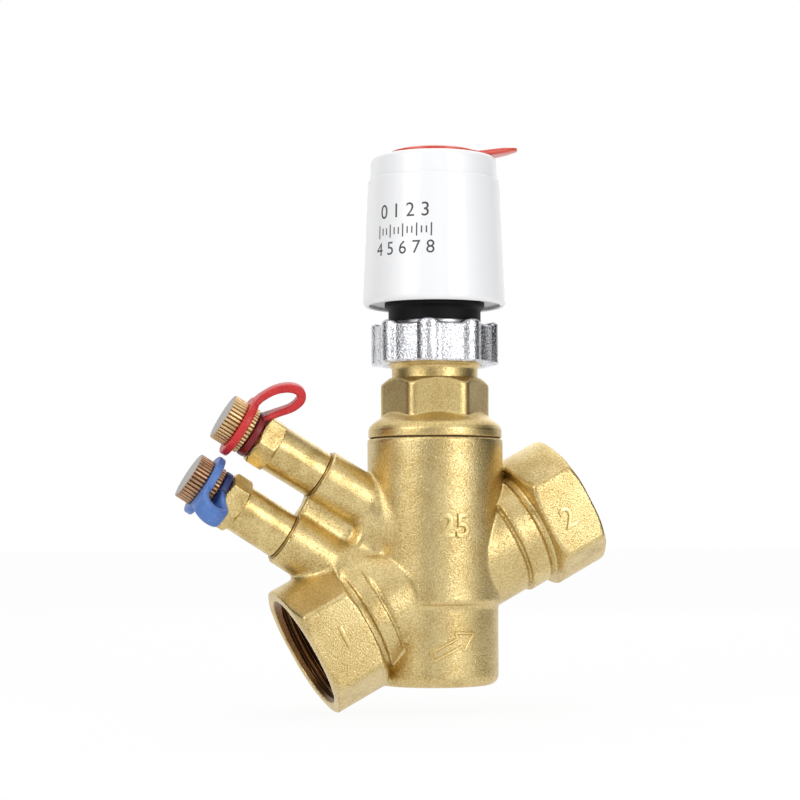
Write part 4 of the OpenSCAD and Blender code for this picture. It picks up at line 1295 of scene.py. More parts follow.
@dataclass
class Marks:
    """Raised marks of the casting: plain numbers and the arrow of the flow."""

    upper_r: float = 20.0
    lower_r: float = 18.6
    flat_face: float = 20.2
    number_level: float = 14.6
    number_size: float = 9.6
    number_depth: float = 0.4
    number_round: float = 0.22
    number_lift: float = 0.2
    port_number_size: float = 9.0
    port_number_depth: float = 0.35
    port_number_round: float = 0.16
    port_number_lift: float = 0.1
    inlet_place: tuple[float, float] = (36.5, 1.0)
    outlet_place: tuple[float, float] = (38.5, -1.5)
    arrow_level: float = -19.5
    arrow_length: float = 14.4
    arrow_shaft: float = 2.5
    arrow_head: float = 6.0
    arrow_head_length: float = 5.2
    arrow_line: float = 0.5
    relief: float = 0.6

    def build(self, dresser: Dresser) -> None:
        """Makes the marks and dresses them.

        Args:
            dresser: gives each piece its material and body.
        """
        number = lettering("size_number", "25", self.number_size, self.number_depth,
                           self.number_round)
        self.on_drum(number)
        pieces = [number]
        for name, text, seat, place in (("inlet_number", "1", INLET, self.inlet_place),
                                        ("outlet_number", "2", OUTLET, self.outlet_place)):
            mark = lettering(name, text, self.port_number_size, self.port_number_depth,
                             self.port_number_round)
            self.on_port(mark, seat, *place)
            pieces.append(mark)
        pieces.append(self.arrow())
        for piece in pieces:
            # the marks' lighter brass is a painted highlight
            dresser.dress(piece, dresser.shelf.marks, Body.VALVE)

    def on_drum(self, obj: bpy.types.Object) -> None:
        """Bends a flat mark round the upper drum, where it faces -Y.

        A point (x, y, z) goes to the angle x / radius round the drum, to the height y above the
        mark's level and to the distance z outside the drum, and a small lift more.

        Args:
            obj: the mark, whose points are still in millimetres.
        """
        def place(x: Array, y: Array, z: Array) -> Array:
            """Gives the points' places on the drum.

            Args:
                x: first coordinates of the flat mark's points.
                y: second coordinates.
                z: third coordinates.

            Returns:
                Array of n by 3.
            """
            a = x / self.upper_r
            r = self.upper_r + z + self.number_lift
            return np.stack([r * np.sin(a), -r * np.cos(a), y + self.number_level], -1)

        subdivided(obj, 1)
        move_points(obj, place)

    def on_port(self, obj: bpy.types.Object, seat: Seat, t: float, shift: float) -> None:
        """Lays a flat mark on the front flat of a port's hexagon, upright to its axis.

        Args:
            obj: the mark, whose points are still in millimetres.
            seat: the port's frame.
            t: distance of the mark's middle along the port's axis.
            shift: distance of its middle above that axis.
        """
        axes = seat.axes()
        up = axes[:, 0] if axes[2, 0] > 0 else -axes[:, 0]
        right = np.cross(up, np.array([0.0, 1.0, 0.0])) * -1
        if right[0] < 0:
            right = -right
        out = np.array([0, -1.0, 0])
        middle = axes[:, 2] * t + up * shift + out * self.flat_face

        def place(x: Array, y: Array, z: Array) -> Array:
            """Gives the points' places on the flat."""
            lift = z[:, None] + self.port_number_lift
            return middle + x[:, None] * right + y[:, None] * up + lift * out

        move_points(obj, place)

    def arrow(self) -> bpy.types.Object:
        """Makes the arrow's raised outline, a closed tube that runs round the arrow's edge.

        The tube's section is an oval, arrow_line wide each way and relief high. The flat arrow
        is turned by the ports' slope and bent round the lower drum, x / radius being the angle.

        Returns:
            The arrow.
        """
        half, neck = self.arrow_length / 2, self.arrow_length / 2 - self.arrow_head_length
        s, h = self.arrow_shaft / 2, self.arrow_head / 2
        corners = [(-half, -s, 0.3), (neck, -s, 0.3), (neck, -h, 0.5), (half, 0, 0.6),
                   (neck, h, 0.5), (neck, s, 0.3), (-half, s, 0.3)]
        line = rounded(corners, True, 4)
        line = refined(np.concatenate([line, line[:1]]), 0.5)[:-1]
        ahead, behind = np.roll(line, -1, 0), np.roll(line, 1, 0)
        along_line = ahead - behind
        along_line /= np.linalg.norm(along_line, axis=1)[:, None]
        across = np.stack([along_line[:, 1], -along_line[:, 0]], 1)
        sides = 10
        a = np.linspace(0, 2 * np.pi, sides, endpoint=False)
        wide = self.arrow_line * np.cos(a)
        flat = line[:, None, :] + across[:, None, :] * wide[None, :, None]
        lift = np.broadcast_to(self.relief * np.sin(a), flat.shape[:2])
        c, n = math.cos(math.radians(PORT_SLOPE)), math.sin(math.radians(PORT_SLOPE))
        x = flat[..., 0] * c - flat[..., 1] * n
        z = flat[..., 0] * n + flat[..., 1] * c
        r = self.lower_r + lift
        angle = x / self.lower_r
        grid = np.stack([r * np.sin(angle), -r * np.cos(angle), z + self.arrow_level], -1)
        faces = quads(len(line), sides, True, True)
        return mesh_object("flow_arrow", grid.reshape(-1, 3), faces)


# Bonnet


@dataclass
class Bonnet:
    """Flange, cone, hexagon with turned corners, neck and the start of the nut's thread."""

    bottom: float = 41.0
    flange_r: float = 19.7
    flange_top: float = 44.8
    flats: float = 28.6
    turn: float = -12.3
    cone_height: float = 3.0
    turned_r: float = 16.0
    hex_top: float = 58.4
    neck_r: float = 12.7
    neck_top: float = 62.5
    thread_r: float = 14.5
    top: float = 70.2
    bore_r: float = 6.6
    cone_bend: float = 2.2
    foot_bend: float = 0.7
    corner_bend: float = 0.5
    top_bend: float = 0.35

    def build(self, dresser: Dresser) -> None:
        """Makes the bonnet as a surface of revolution whose radius is cut by the hexagon.

        Between flange and hexagon the radius is the greater of the hexagon's edge and a cone
        that falls away from the axis, joined by a soft bend. The hexagon's edge is the lesser
        of the hexagon itself and the turned radius. The outline's middle stretch is drawn
        beyond every radius of the piece, which marks it as the one that the function shapes.

        Args:
            dresser: gives it its material and body.
        """
        slope = self.cone_height / (self.flange_r - 1.0 - self.flats / 2)
        shoulder = self.flange_top - 1.4
        beyond, rows, step, near = 30.0, 44, 0.9, 0.01
        flange = rounded([
            (self.bore_r, self.bottom + 1, 0), (self.bore_r, self.bottom, 0),
            (self.flange_r, self.bottom, 0.25), (self.flange_r, shoulder, 0)], False)
        middle_z = np.linspace(shoulder + 0.1, self.hex_top - 2.6, rows)
        upper = rounded([
            (self.turned_r + 0.6, self.hex_top - 2.4, 0),
            (self.neck_r + 1.3, self.hex_top - 0.15, 0.2),
            (self.neck_r + 1.2, self.hex_top, 0.1), (self.neck_r, self.hex_top, 0.15),
            (self.neck_r, self.neck_top - 1.0, 0.6), (self.neck_r + 0.9, self.neck_top, 0.2),
            (self.neck_r + 0.9, self.neck_top + 0.7, 0.1),
            (self.thread_r, self.neck_top + 1.2, 0.2), (self.thread_r, self.top - 0.6, 0.3),
            (self.thread_r - 0.7, self.top, 0.2), (self.bore_r, self.top, 0.1),
            (self.bore_r, self.bottom + 1, 0)], False)
        outline = np.concatenate([refined(flange, step),
                                  np.stack([np.full(rows, beyond), middle_z], 1),
                                  refined(upper, step)])

        def radius(a: Array, r: Array, z: Array) -> Array:
            """Gives the radius at an angle, cut by the hexagon and raised by the cone.

            Args:
                a: angles about the axis.
                r: the outline's radii.
                z: the outline's heights.

            Returns:
                Array of radii.
            """
            edge = hexagon(a, self.flats, self.turn)
            edge = soft_min(edge, self.turned_r + 0 * r, self.corner_bend)
            cone = self.flange_r - (z - self.flange_top + 0.35) / slope
            cone = soft_min(cone, self.flange_r + 0 * cone, self.cone_bend)
            middle = soft_max(edge, cone, self.foot_bend)
            top = soft_min(edge, r + 0 * a, self.top_bend)
            shaped = (z > shoulder + near) & (z < self.hex_top - near) & (r > self.bore_r + 0.1)
            return np.where(shaped, np.where(r > beyond - 1, middle, top), r + 0 * a)

        obj = turned("bonnet_brass", outline, STEM, True, 360, radius, 50.0)
        dresser.dress(obj, dresser.shelf.bonnet, Body.VALVE, ["bonnet"])


# Union nut


@dataclass
class UnionNut:
    """Plated nut with eight rounded grips that stand a little higher than its wall."""

    bottom: float = 62.4
    wall_top: float = 73.9
    grip_top: float = 75.0
    grip_r: float = 18.9
    wall_r: float = 17.6
    lobe_r: float = 3.9
    grips: int = 8
    turn: float = 22.5
    bore_r: float = 14.62
    inner_r: float = 12.45
    shoulder: float = 72.4
    low_edge: float = 0.9
    high_edge: float = 1.0
    lead_in: float = 0.8
    lobe_bend: float = 0.5

    def build(self, dresser: Dresser) -> None:
        """Makes the nut.

        Its outside at an angle is the softened greater of the wall's circle and of circles that
        stand on it, one for each grip, and the top edge rises with it.

        Args:
            dresser: gives it its material and body.
        """
        segments = 480
        a = np.linspace(0, 2 * np.pi, segments, endpoint=False)[:, None]
        step = 2 * np.pi / self.grips
        off = np.mod(a - math.radians(self.turn) + step / 2, step) - step / 2
        centre = self.grip_r - self.lobe_r
        reach = np.maximum(self.lobe_r ** 2 - (centre * np.sin(off)) ** 2, 0)
        lobe = np.where(reach > 0, centre * np.cos(off) + np.sqrt(reach), 0)
        outer = soft_max(lobe, np.full_like(lobe, self.wall_r), self.lobe_bend)
        share = np.clip((outer - self.wall_r) / (self.grip_r - self.wall_r), 0, 1)
        top = self.wall_top + (self.grip_top - self.wall_top) * np.sqrt(share)
        t = np.linspace(0, np.pi / 2, 7)[None, :]
        low_r = outer - self.low_edge * (1 - np.sin(t))
        low_z = self.bottom + self.low_edge * (1 - np.cos(t)) + 0 * a
        side_z = np.linspace(0.02, 0.98, 14)[None, :]
        z0, z1 = self.bottom + self.low_edge, top - self.high_edge
        high_r = outer - self.high_edge * (1 - np.cos(t))
        high_z = top - self.high_edge * (1 - np.sin(t))
        ones = np.ones_like(outer)
        radius = np.concatenate([
            self.bore_r * ones, (self.bore_r + self.lead_in) * ones, low_r, outer + 0 * side_z,
            high_r, self.inner_r * ones, self.inner_r * ones, self.bore_r * ones], 1)
        height = np.concatenate([
            (self.bottom + self.lead_in) * ones, self.bottom * ones, low_z,
            z0 + (z1 - z0) * side_z, high_z, self.wall_top * ones, self.shoulder * ones,
            self.shoulder * ones], 1)
        grid = np.stack([radius * np.cos(a), radius * np.sin(a), height], -1)
        faces = quads(segments, grid.shape[1], True, True)
        obj = mesh_object("grip_nut", grid.reshape(-1, 3), faces, 50.0)
        dresser.dress(obj, dresser.shelf.chrome, Body.NUT, ["union_nut"])


# Actuator


@dataclass
class Actuator:
    """White tapered housing with its cover, the black collar below and the red lever on top."""

    segments: int = 192
    bottom: float = 79.8
    top: float = 123.6
    bottom_r: float = 21.2
    top_r: float = 19.3
    wall: float = 1.8
    seam: float = 116.8
    step: float = 0.6
    collar_bottom: float = 75.2
    collar_r: float = 13.65
    collar_top: float = 80.87
    collar_lip_r: float = 14.75
    sleeve_r: float = 12.23
    lever_bottom: float = 123.7
    lever_thickness: float = 1.8
    lever_r: float = 13.5
    lever_reach: float = 25.8
    tab_width: float = 10.0
    tab_rise: float = 2.8
    tab_end: float = 4.5
    tab_bend: float = 1.6
    dome: float = 0.55
    rim_share: float = 0.45
    inlet_level: float = 89.9
    inlet_hole_r: float = 3.6
    hole_segments: int = 72
    print_level: float = 100.0
    print_angle: float = -43.0
    print_depth: float = 0.012
    print_gap: float = 0.02
    ticks: int = 13
    tick_span: float = 8.6
    tick_wide: float = 0.2
    tick_tall: float = 1.9
    tick_short: float = 1.0

    def wall_r(self, z: Array) -> Array:
        """Radius of the housing's outside at a height: a straight taper from bottom to top."""
        share = (z - self.bottom) / (self.top - self.bottom)
        return self.bottom_r + (self.top_r - self.bottom_r) * share

    def build(self, dresser: Dresser) -> None:
        """Makes the actuator's pieces and dresses them.

        Args:
            dresser: gives each piece its material and body.
        """
        low, seam_r = self.bottom_r, float(self.wall_r(self.seam))
        shell = rounded([
            (low - self.wall, self.bottom + 0.2, 0.2), (low - 0.9, self.bottom, 0.3),
            (low, self.bottom + 0.9, 0.7), (seam_r, self.seam - 0.25, 0.15),
            (seam_r - 0.25, self.seam, 0.05), (seam_r - self.wall, self.seam, 0),
            (seam_r - self.wall, self.seam - 1, 0)], True, 6)
        obj = turned("cap_shell", refined(shell, 3.0), STEM, True, self.segments)
        self.pierce(obj)
        dresser.dress(obj, dresser.shelf.white, Body.ACTUATOR, ["housing"])
        cover_low, cover_high = seam_r - self.step, self.top_r - self.step
        cover = rounded([
            (0, self.top - 2.2, 0), (cover_low - 3.4, self.top - 2.2, 0.5),
            (cover_low - 3.4, self.seam - 3, 0.2), (cover_low - 1.5, self.seam - 3, 0.2),
            (cover_low - 1.5, self.seam + 0.03, 0), (cover_low, self.seam + 0.03, 0.12),
            (cover_high, self.top, 1.7), (cover_high - 4.2, self.top + 0.05, 1.0),
            (0, self.top + 0.05, 0)], False, 8)
        obj = turned("cap_cover", cover, STEM, False, self.segments)
        dresser.dress(obj, dresser.shelf.white, Body.ACTUATOR, ["top_cover"])
        collar = rounded([
            (self.sleeve_r, self.collar_bottom, 0.1), (self.collar_r, self.collar_bottom, 0.25),
            (self.collar_r, self.collar_top - 2.2, 0.5),
            (self.collar_lip_r, self.collar_top - 1.4, 0.3),
            (self.collar_lip_r, self.collar_top, 0.1), (self.sleeve_r, self.collar_top, 0.1)],
            True)
        obj = turned("neck_collar", collar, STEM, True, 144)
        dresser.dress(obj, dresser.shelf.black, Body.ACTUATOR, ["actuator_collar"])
        self.lever(dresser)
        self.grommet(dresser)
        self.print_scale(dresser)

    def pierce(self, shell: bpy.types.Object) -> None:
        """Cuts the round hole of the cable inlet through the back wall of the housing.

        Args:
            shell: the housing's wall.
        """
        face = float(self.wall_r(np.array(self.inlet_level)))
        a = np.linspace(0, 2 * np.pi, self.hole_segments, endpoint=False)[:, None]
        r = np.array([0.0, self.inlet_hole_r, self.inlet_hole_r, 0.0])[None, :]
        deep, past = 5.0, 3.0
        y = np.array([-deep, -deep, past, past])[None, :] + face
        z = self.inlet_level + r * np.sin(a)
        points = np.stack(np.broadcast_arrays(r * np.cos(a), y, z), -1)
        faces = quads(self.hole_segments, 4, True, False)
        cutter = mesh_object("inlet_hole", points.reshape(-1, 3), faces)
        cut = shell.modifiers.new("cable_hole", "BOOLEAN")
        cut.operation = "DIFFERENCE"
        cut.solver = "EXACT"
        cut.object = cutter
        apply_modifiers(shell, 40.0)
        bpy.data.objects.remove(cutter)

    def lever(self, dresser: Dresser) -> None:
        """Makes the lever: a thin dome with a tab that rises over the cover's edge.

        Its outline is the softened union of a circle and a bar with a round end. Its upper
        face falls with the square of the distance from the axis, and beyond the disc both
        faces rise in line with the tab. The thickness falls to rim_share of itself at the rim.

        Args:
            dresser: gives it its material and body.
        """
        n_ring, n_rows = 160, 14
        far, tiny = 1e3, 1e-6
        a = np.linspace(0, 2 * np.pi, n_ring, endpoint=False)[:, None]
        half = self.tab_width / 2
        c, s = np.cos(a), np.sin(a)
        end = self.lever_reach - half
        across = np.where(np.abs(s) > tiny, half / np.maximum(np.abs(s), tiny), far)
        to_round = end * c + np.sqrt(np.maximum(half ** 2 - (end * s) ** 2, 0))
        tab = np.where((c > 0) & (end * np.abs(s) < half), to_round, far)
        tab = np.where(c > 0, np.minimum(across, tab), 0)
        rim = soft_max(tab, np.full_like(tab, self.lever_r), self.tab_bend)
        t = np.linspace(0, 1, n_rows)[None, :]
        r = rim * t
        x, y = r * c, r * s
        start = self.lever_r - self.tab_end
        rise = self.tab_rise * np.clip((x - start) / (self.lever_reach - start), 0, 1)
        dome = self.dome * (1 - np.clip(np.hypot(x, y) / self.lever_r, 0, 1) ** 2)
        edge = np.sqrt(np.clip(1 - t ** 12, 0, 1))
        middle = self.lever_bottom + self.lever_thickness / 2 + rise
        half_edge = self.lever_thickness / 2 * (self.rim_share + (1 - self.rim_share) * edge)
        upper = np.stack([x, y, middle + dome + half_edge], -1)
        lower = np.stack([x, y, middle - half_edge + 0.02], -1)
        points = np.concatenate([upper, lower[:, ::-1]], 1)
        faces = quads(n_ring, 2 * n_rows, True, False)
        obj = mesh_object("red_lever", points.reshape(-1, 3), faces, 50.0)
        dresser.dress(obj, dresser.shelf.red, Body.LEVER, ["lever"])

    def grommet(self, dresser: Dresser) -> None:
        """Makes the rubber ring of the cable inlet at the back, with a ridged outside.

        Its outline holds each corner's distance from the inlet's axis, its distance outside the
        housing's wall and the size of its rounding.

        Args:
            dresser: gives it its material and body.
        """
        face = float(self.wall_r(np.array(self.inlet_level)))
        ring = rounded([
            (2.6, -3.9, 0.1), (3.7, -3.9, 0.2), (3.7, 0.2, 0), (4.5, 0.2, 0.2), (4.5, 1.0, 0.4),
            (3.9, 1.4, 0.2), (3.7, 1.6, 0.2), (2.6, 1.6, 0.3)], True)
        a = np.linspace(0, 2 * np.pi, self.hole_segments, endpoint=False)[:, None]
        r, h = ring[None, :, 0], ring[None, :, 1]
        points = np.stack([r * np.cos(a), h + 0 * a, r * np.sin(a)], -1)
        points = points + np.array([0.0, face, self.inlet_level])
        faces = quads(self.hole_segments, len(ring), True, True)
        obj = mesh_object("cable_grommet", points.reshape(-1, 3), faces)
        dresser.dress(obj, dresser.shelf.black, Body.ACTUATOR, ["cable_inlet"])

    def print_scale(self, dresser: Dresser) -> None:
        """Prints a plain scale on the housing: two rows of numbers and the ticks between.

        Each tick is a flat box of eight corners, and every third one is tall.

        Args:
            dresser: gives each piece its material and body.
        """
        for name, text, size, lift in (("scale_upper", "0 1 2 3", 5.8, 5.6),
                                       ("scale_lower", "4 5 6 7 8", 5.4, -5.2)):
            mark = lettering(name, text, size, self.print_depth, 0.0)
            subdivided(mark, 2)
            move_points(mark, self.on_housing(lift))
            dresser.dress(mark, dresser.shelf.ink, Body.ACTUATOR)
        number = np.arange(self.ticks)
        x0 = np.linspace(-self.tick_span, self.tick_span, self.ticks)[:, None]
        tall = np.where(number % 3 == 0, self.tick_tall, self.tick_short)[:, None]
        box_x = np.array([-1, 1, 1, -1, -1, 1, 1, -1])[None, :] * self.tick_wide + x0
        box_y = np.array([-1, -1, 1, 1, -1, -1, 1, 1])[None, :] * tall
        box_z = np.array([-1, -1, -1, -1, 1, 1, 1, 1])[None, :] * self.print_depth + 0 * x0
        corner = np.array([[0, 3, 2, 1], [4, 5, 6, 7], [0, 1, 5, 4], [1, 2, 6, 5],
                           [2, 3, 7, 6], [3, 0, 4, 7]])
        faces = (corner[None] + 8 * number[:, None, None]).reshape(-1, 4)
        points = self.on_housing(0.0)(box_x.ravel(), box_y.ravel(), box_z.ravel())
        obj = mesh_object("scale_ticks", points, faces)
        dresser.dress(obj, dresser.shelf.ink, Body.ACTUATOR)

    def on_housing(self, lift: float) -> Callable[[Array, Array, Array], Array]:
        """Makes the function that wraps a flat print round the tapered housing.

        A point (x, y, z) goes to the angle x / radius from the print's own angle, where radius
        is the wall's at that height, and to the distance z outside the wall.

        Args:
            lift: height of the print above the middle of the scale.

        Returns:
            The function, which gives the points' new places from their coordinates.
        """
        def place(x: Array, y: Array, z: Array) -> Array:
            """Gives the points' places on the housing.

            Args:
                x: first coordinates of the flat mark's points.
                y: second coordinates.
                z: third coordinates.

            Returns:
                Array of n by 3.
            """
            level = y + self.print_level + lift
            r = self.wall_r(level) + z + self.print_gap
            a = x / self.wall_r(level) + math.radians(self.print_angle)
            return np.stack([r * np.sin(a), -r * np.cos(a), level], -1)

        return place


# Test plugs with their caps and straps


@dataclass
class TestPlug:
    """One test plug on its boss, with a knurled cap and a rubber strap.

    Lengths are measured along the plug from the end of its boss.
    """

    label: str
    seat: Seat
    hex_turn: float
    loop_turn: float
    loop: Sequence[tuple[float, float]]
    band: float
    cap_body: Body
    ring_body: Body
    strap_slot: Slot
    strap_nodes: tuple[str, str]
    tube_start: float = 0.5
    tube_r: float = 7.05
    spigot_r: float = 4.9
    spigot: float = 8.0
    hex_start: float = 15.7
    hex_end: float = 21.8
    flats: float = 14.4
    turned_r: float = 8.05
    neck_r: float = 4.5
    neck_end: float = 31.5
    cap_start: float = 24.7
    cap_end: float = 33.1
    cap_r: float = 7.05
    skirt: float = 1.6
    groove: float = 2.4
    groove_r: float = 5.85
    teeth: int = 36
    knurl: float = 0.42
    ring_r: float = 9.4
    neck_ring_r: float = 7.0
    neck_ring_start: float = 22.1
    cap_ring_start: float = 26.4
    strap: float = 2.2
    band_thick: float = 1.9
    end_flare: float = 0.55
    swell: float = 0.45
    bend_slope: float = 42.0
    bend_start: float = 21.5
    bend_end: float = 25.2

    def build(self, dresser: Dresser) -> None:
        """Makes the plug, cap and strap and dresses them.

        Args:
            dresser: gives each piece its material and body.
        """
        self.plug(dresser)
        self.cap(dresser)
        self.strap_piece(dresser)

    def plug(self, dresser: Dresser) -> None:
        """Makes tube, hexagon and neck.

        The hexagon's radius is the softened lesser of its edge and of the turned cones at its
        ends.

        Args:
            dresser: gives it its material and body.
        """
        spigot_end = self.tube_start - self.spigot
        outline = rounded([
            (0, spigot_end, 0), (self.spigot_r, spigot_end, 0.3),
            (self.spigot_r, self.tube_start, 0), (self.tube_r, self.tube_start, 0.3),
            (self.tube_r, self.hex_start - 0.05, 0.12), (7.3, self.hex_start, 0),
            (self.turned_r + 0.35, self.hex_start + 0.75, 0.25),
            (self.turned_r + 0.35, self.hex_end - 0.75, 0.25), (7.1, self.hex_end, 0.1),
            (self.neck_r, self.hex_end, 0), (self.neck_r, self.neck_end, 0.3),
            (0, self.neck_end, 0)], False, 6)
        outline = refined(outline, 0.8)

        def radius(a: Array, r: Array, z: Array) -> Array:
            """Gives the radius at an angle, cut by the hexagon where the outline is wide.

            Args:
                a: angles about the axis.
                r: the outline's radii.
                z: the outline's heights.

            Returns:
                Array of radii.
            """
            edge = hexagon(a, self.flats, self.hex_turn)
            near, wide, bend = 0.001, 7.09, 0.25
            shaped = (z > self.hex_start - near) & (z < self.hex_end + near) & (r > wide)
            return np.where(shaped, soft_min(edge, r + 0 * a, bend), r + 0 * a)

        obj = turned(f"{self.label}_plug", outline, self.seat, False, 240, radius, 35.0)
        dresser.dress(obj, dresser.shelf.turned, Body.VALVE,
                      [f"test_plug_{self.label}"])

    def cap(self, dresser: Dresser) -> None:
        """Makes the cap with its knurl.

        Where the outline is near its full radius, the radius is less by the knurl's depth times
        one minus the ridges' height. The height is stored on the points, and so is a number
        that is 1 on the end face.

        Args:
            dresser: gives it its material and body.
        """
        groove_start = self.cap_start + self.skirt
        groove_end = groove_start + self.groove
        r, bore_r, fade = self.cap_r, self.neck_r + 0.08, 0.7
        outline = rounded([
            (bore_r, self.cap_start, 0), (r, self.cap_start, 0.3),
            (r, groove_start, 0.2), (self.groove_r, groove_start, 0.1),
            (self.groove_r, groove_end, 0.1), (r, groove_end, 0.2), (r, self.cap_end, 0.35),
            (r - 0.75, self.cap_end + 0.02, 0.1), (0, self.cap_end + 0.02, 0),
        ], False, 4)
        inner = rounded([(0, self.neck_end + 0.3, 0), (bore_r, self.neck_end + 0.3, 0.1),
                         (bore_r, self.cap_start, 0)], False, 2)
        outline = refined(np.concatenate([inner, outline[1:]]), 0.7)

        def radius(a: Array, radial: Array, z: Array) -> Array:
            """Gives the radius at an angle, less the knurl."""
            depth = np.clip((radial - (r - fade)) / fade, 0, 1) * self.knurl
            return radial - depth * (1 - self.ridges(a))

        obj = turned(f"{self.label}_cap", outline, self.seat, False, 576, radius, 50.0)
        u, v, s = local_points(obj, self.seat)
        radial, angle = np.hypot(u, v), np.arctan2(v, u)
        # the ridges' height, which the cap's material turns into painted shade between the ridges
        set_value(obj, "ridge", np.where(radial > r - 0.6, self.ridges(angle), 0.6))
        set_value(obj, "end_face", np.clip((s - self.cap_end + 0.14) / 0.1, 0, 1))
        dresser.dress(obj, dresser.shelf.caps[self.cap_body], self.cap_body,
                      [f"cap_{self.label}"])

    def ridges(self, angle: Array) -> Array:
        """Height of the knurl, 0 to 1: the cosine of teeth times the angle, flat on top."""
        return np.clip(0.95 + 0.95 * np.cos(self.teeth * angle), 0, 1)

    def strap_piece(self, dresser: Dresser) -> None:
        """Makes the strap: ring on the neck, ring in the cap's groove and the band between.

        The ends of a line that climbs from the neck towards the loop's far end are worked out, but
        the band is not bent along it: its place is baked into its mesh and it rides on no body.

        Args:
            dresser: gives each piece its material and body.
        """
        h = self.strap / 2
        material = dresser.shelf.by_slot[self.strap_slot]
        for part, body, node, middle, outer, inner in (
                ("neck", Body.VALVE, self.strap_nodes[0], self.neck_ring_start + h,
                 self.neck_ring_r, self.neck_r + 0.15),
                ("groove", self.ring_body, self.strap_nodes[1], self.cap_ring_start + h,
                 self.ring_r, self.groove_r + 0.12)):
            outline = rounded([(inner, middle - h, 0.2), (outer, middle - h, 0.55),
                               (outer, middle + h, 0.55), (inner, middle + h, 0.2)], True, 4)
            ring = turned(f"{self.label}_{part}_ring", outline, self.seat, True, 120)
            self.shade_neck(ring)
            dresser.dress(ring, material, body, [node])
        band = self.band_piece()
        self.shade_neck(band)
        climb, turn = math.radians(self.bend_slope), math.radians(self.loop_turn)
        local = np.array([math.sin(climb) * math.cos(turn), math.sin(climb) * math.sin(turn),
                          math.cos(climb)])
        start, end = (self.seat.out(local * reach) * MM for reach in (self.bend_start, self.bend_end))
        dresser.dress(band, material, self.ring_body,
                      blend_from=Body.VALVE)

    def shade_neck(self, obj: bpy.types.Object) -> None:
        """Stores on a strap's points how far they lie in the shade of the neck.

        The number falls from 1 to 0 over fade_out away from the axis, and over fade_up along it.

        Args:
            obj: the strap's piece.
        """
        past_out, fade_out = 1.8, 1.6
        past_up, fade_up = 0.9, 0.6
        u, v, s = local_points(obj, self.seat)
        near = np.clip((self.neck_ring_r + past_out - np.hypot(u, v)) / fade_out, 0, 1)
        low = np.clip((self.neck_ring_start + self.strap + past_up - s) / fade_up, 0, 1)
        set_value(obj, "neck", near * low)

    def band_piece(self) -> bpy.types.Object:
        """Makes the band, a rounded bar carried along a smooth closed-ended path.

        The path runs through the loop's points (distance along the plug, distance from its
        axis) by splines, and the section's width lies across the loop's plane. Both of the
        section's coordinates are a cosine or sine raised to a power, which squares its corners.
        The band is wider near its ends, by a bell curve, and thicker in the middle.

        Returns:
            The band.
        """
        points = np.array(self.loop, float)
        t = np.linspace(0, len(points) - 1, 70)
        path = spline(points, t)
        ahead = np.gradient(path, axis=0)
        ahead /= np.linalg.norm(ahead, axis=1)[:, None]
        across = np.stack([-ahead[:, 1], ahead[:, 0]], 1)
        share = t / (len(points) - 1)
        bell, power = 0.12, 0.45
        near_end = np.exp(-(share / bell) ** 2) + np.exp(-((1 - share) / bell) ** 2)
        width = self.band / 2 * (1 + self.end_flare * near_end)
        thick = self.band_thick / 2 * (1 + self.swell * np.sin(np.pi * share) ** 2)
        thick = thick[:, None]
        a = np.linspace(0, 2 * np.pi, 28, endpoint=False)
        side_w = np.sign(np.cos(a)) * np.abs(np.cos(a)) ** power
        side_t = np.sign(np.sin(a)) * np.abs(np.sin(a)) ** power
        s = path[:, None, 0] + across[:, None, 0] * thick * side_t[None, :]
        r = path[:, None, 1] + across[:, None, 1] * thick * side_t[None, :]
        w = width[:, None] * side_w[None, :]
        turn = math.radians(self.loop_turn)
        u = r * math.cos(turn) - w * math.sin(turn)
        v = r * math.sin(turn) + w * math.cos(turn)
        grid = np.stack([u, v, s], -1)
        middle = grid.mean(1, keepdims=True)
        grid = np.concatenate([np.repeat(middle[:1], grid.shape[1], 1), grid,
                               np.repeat(middle[-1:], grid.shape[1], 1)])
        faces = quads(len(grid), grid.shape[1], False, True)
        points = self.seat.out(grid.reshape(-1, 3))
        return mesh_object(f"{self.label}_band", points, faces, 60.0)


def spline(points: Array, t: Array) -> Array:
    """Smooth curve through points.

    Each stretch is the cubic whose ends have half the slopes of the chords between the points
    before and after them.

    Args:
        points: array of n by 2.
        t: places along the curve, from 0 to n - 1.

    Returns:
        Array of len(t) by 2.
    """
    padded = np.concatenate([2 * points[:1] - points[1:2], points, 2 * points[-1:] - points[-2:-1]])
    k = np.clip(np.floor(t).astype(int), 0, len(points) - 2)
    f = (t - k)[:, None]
    p0, p1, p2, p3 = (padded[k + i] for i in range(4))
    return 0.5 * (2 * p1 + (p2 - p0) * f + (2 * p0 - 5 * p1 + 4 * p2 - p3) * f ** 2
                  + (3 * p1 - p0 - 3 * p2 + p3) * f ** 3)
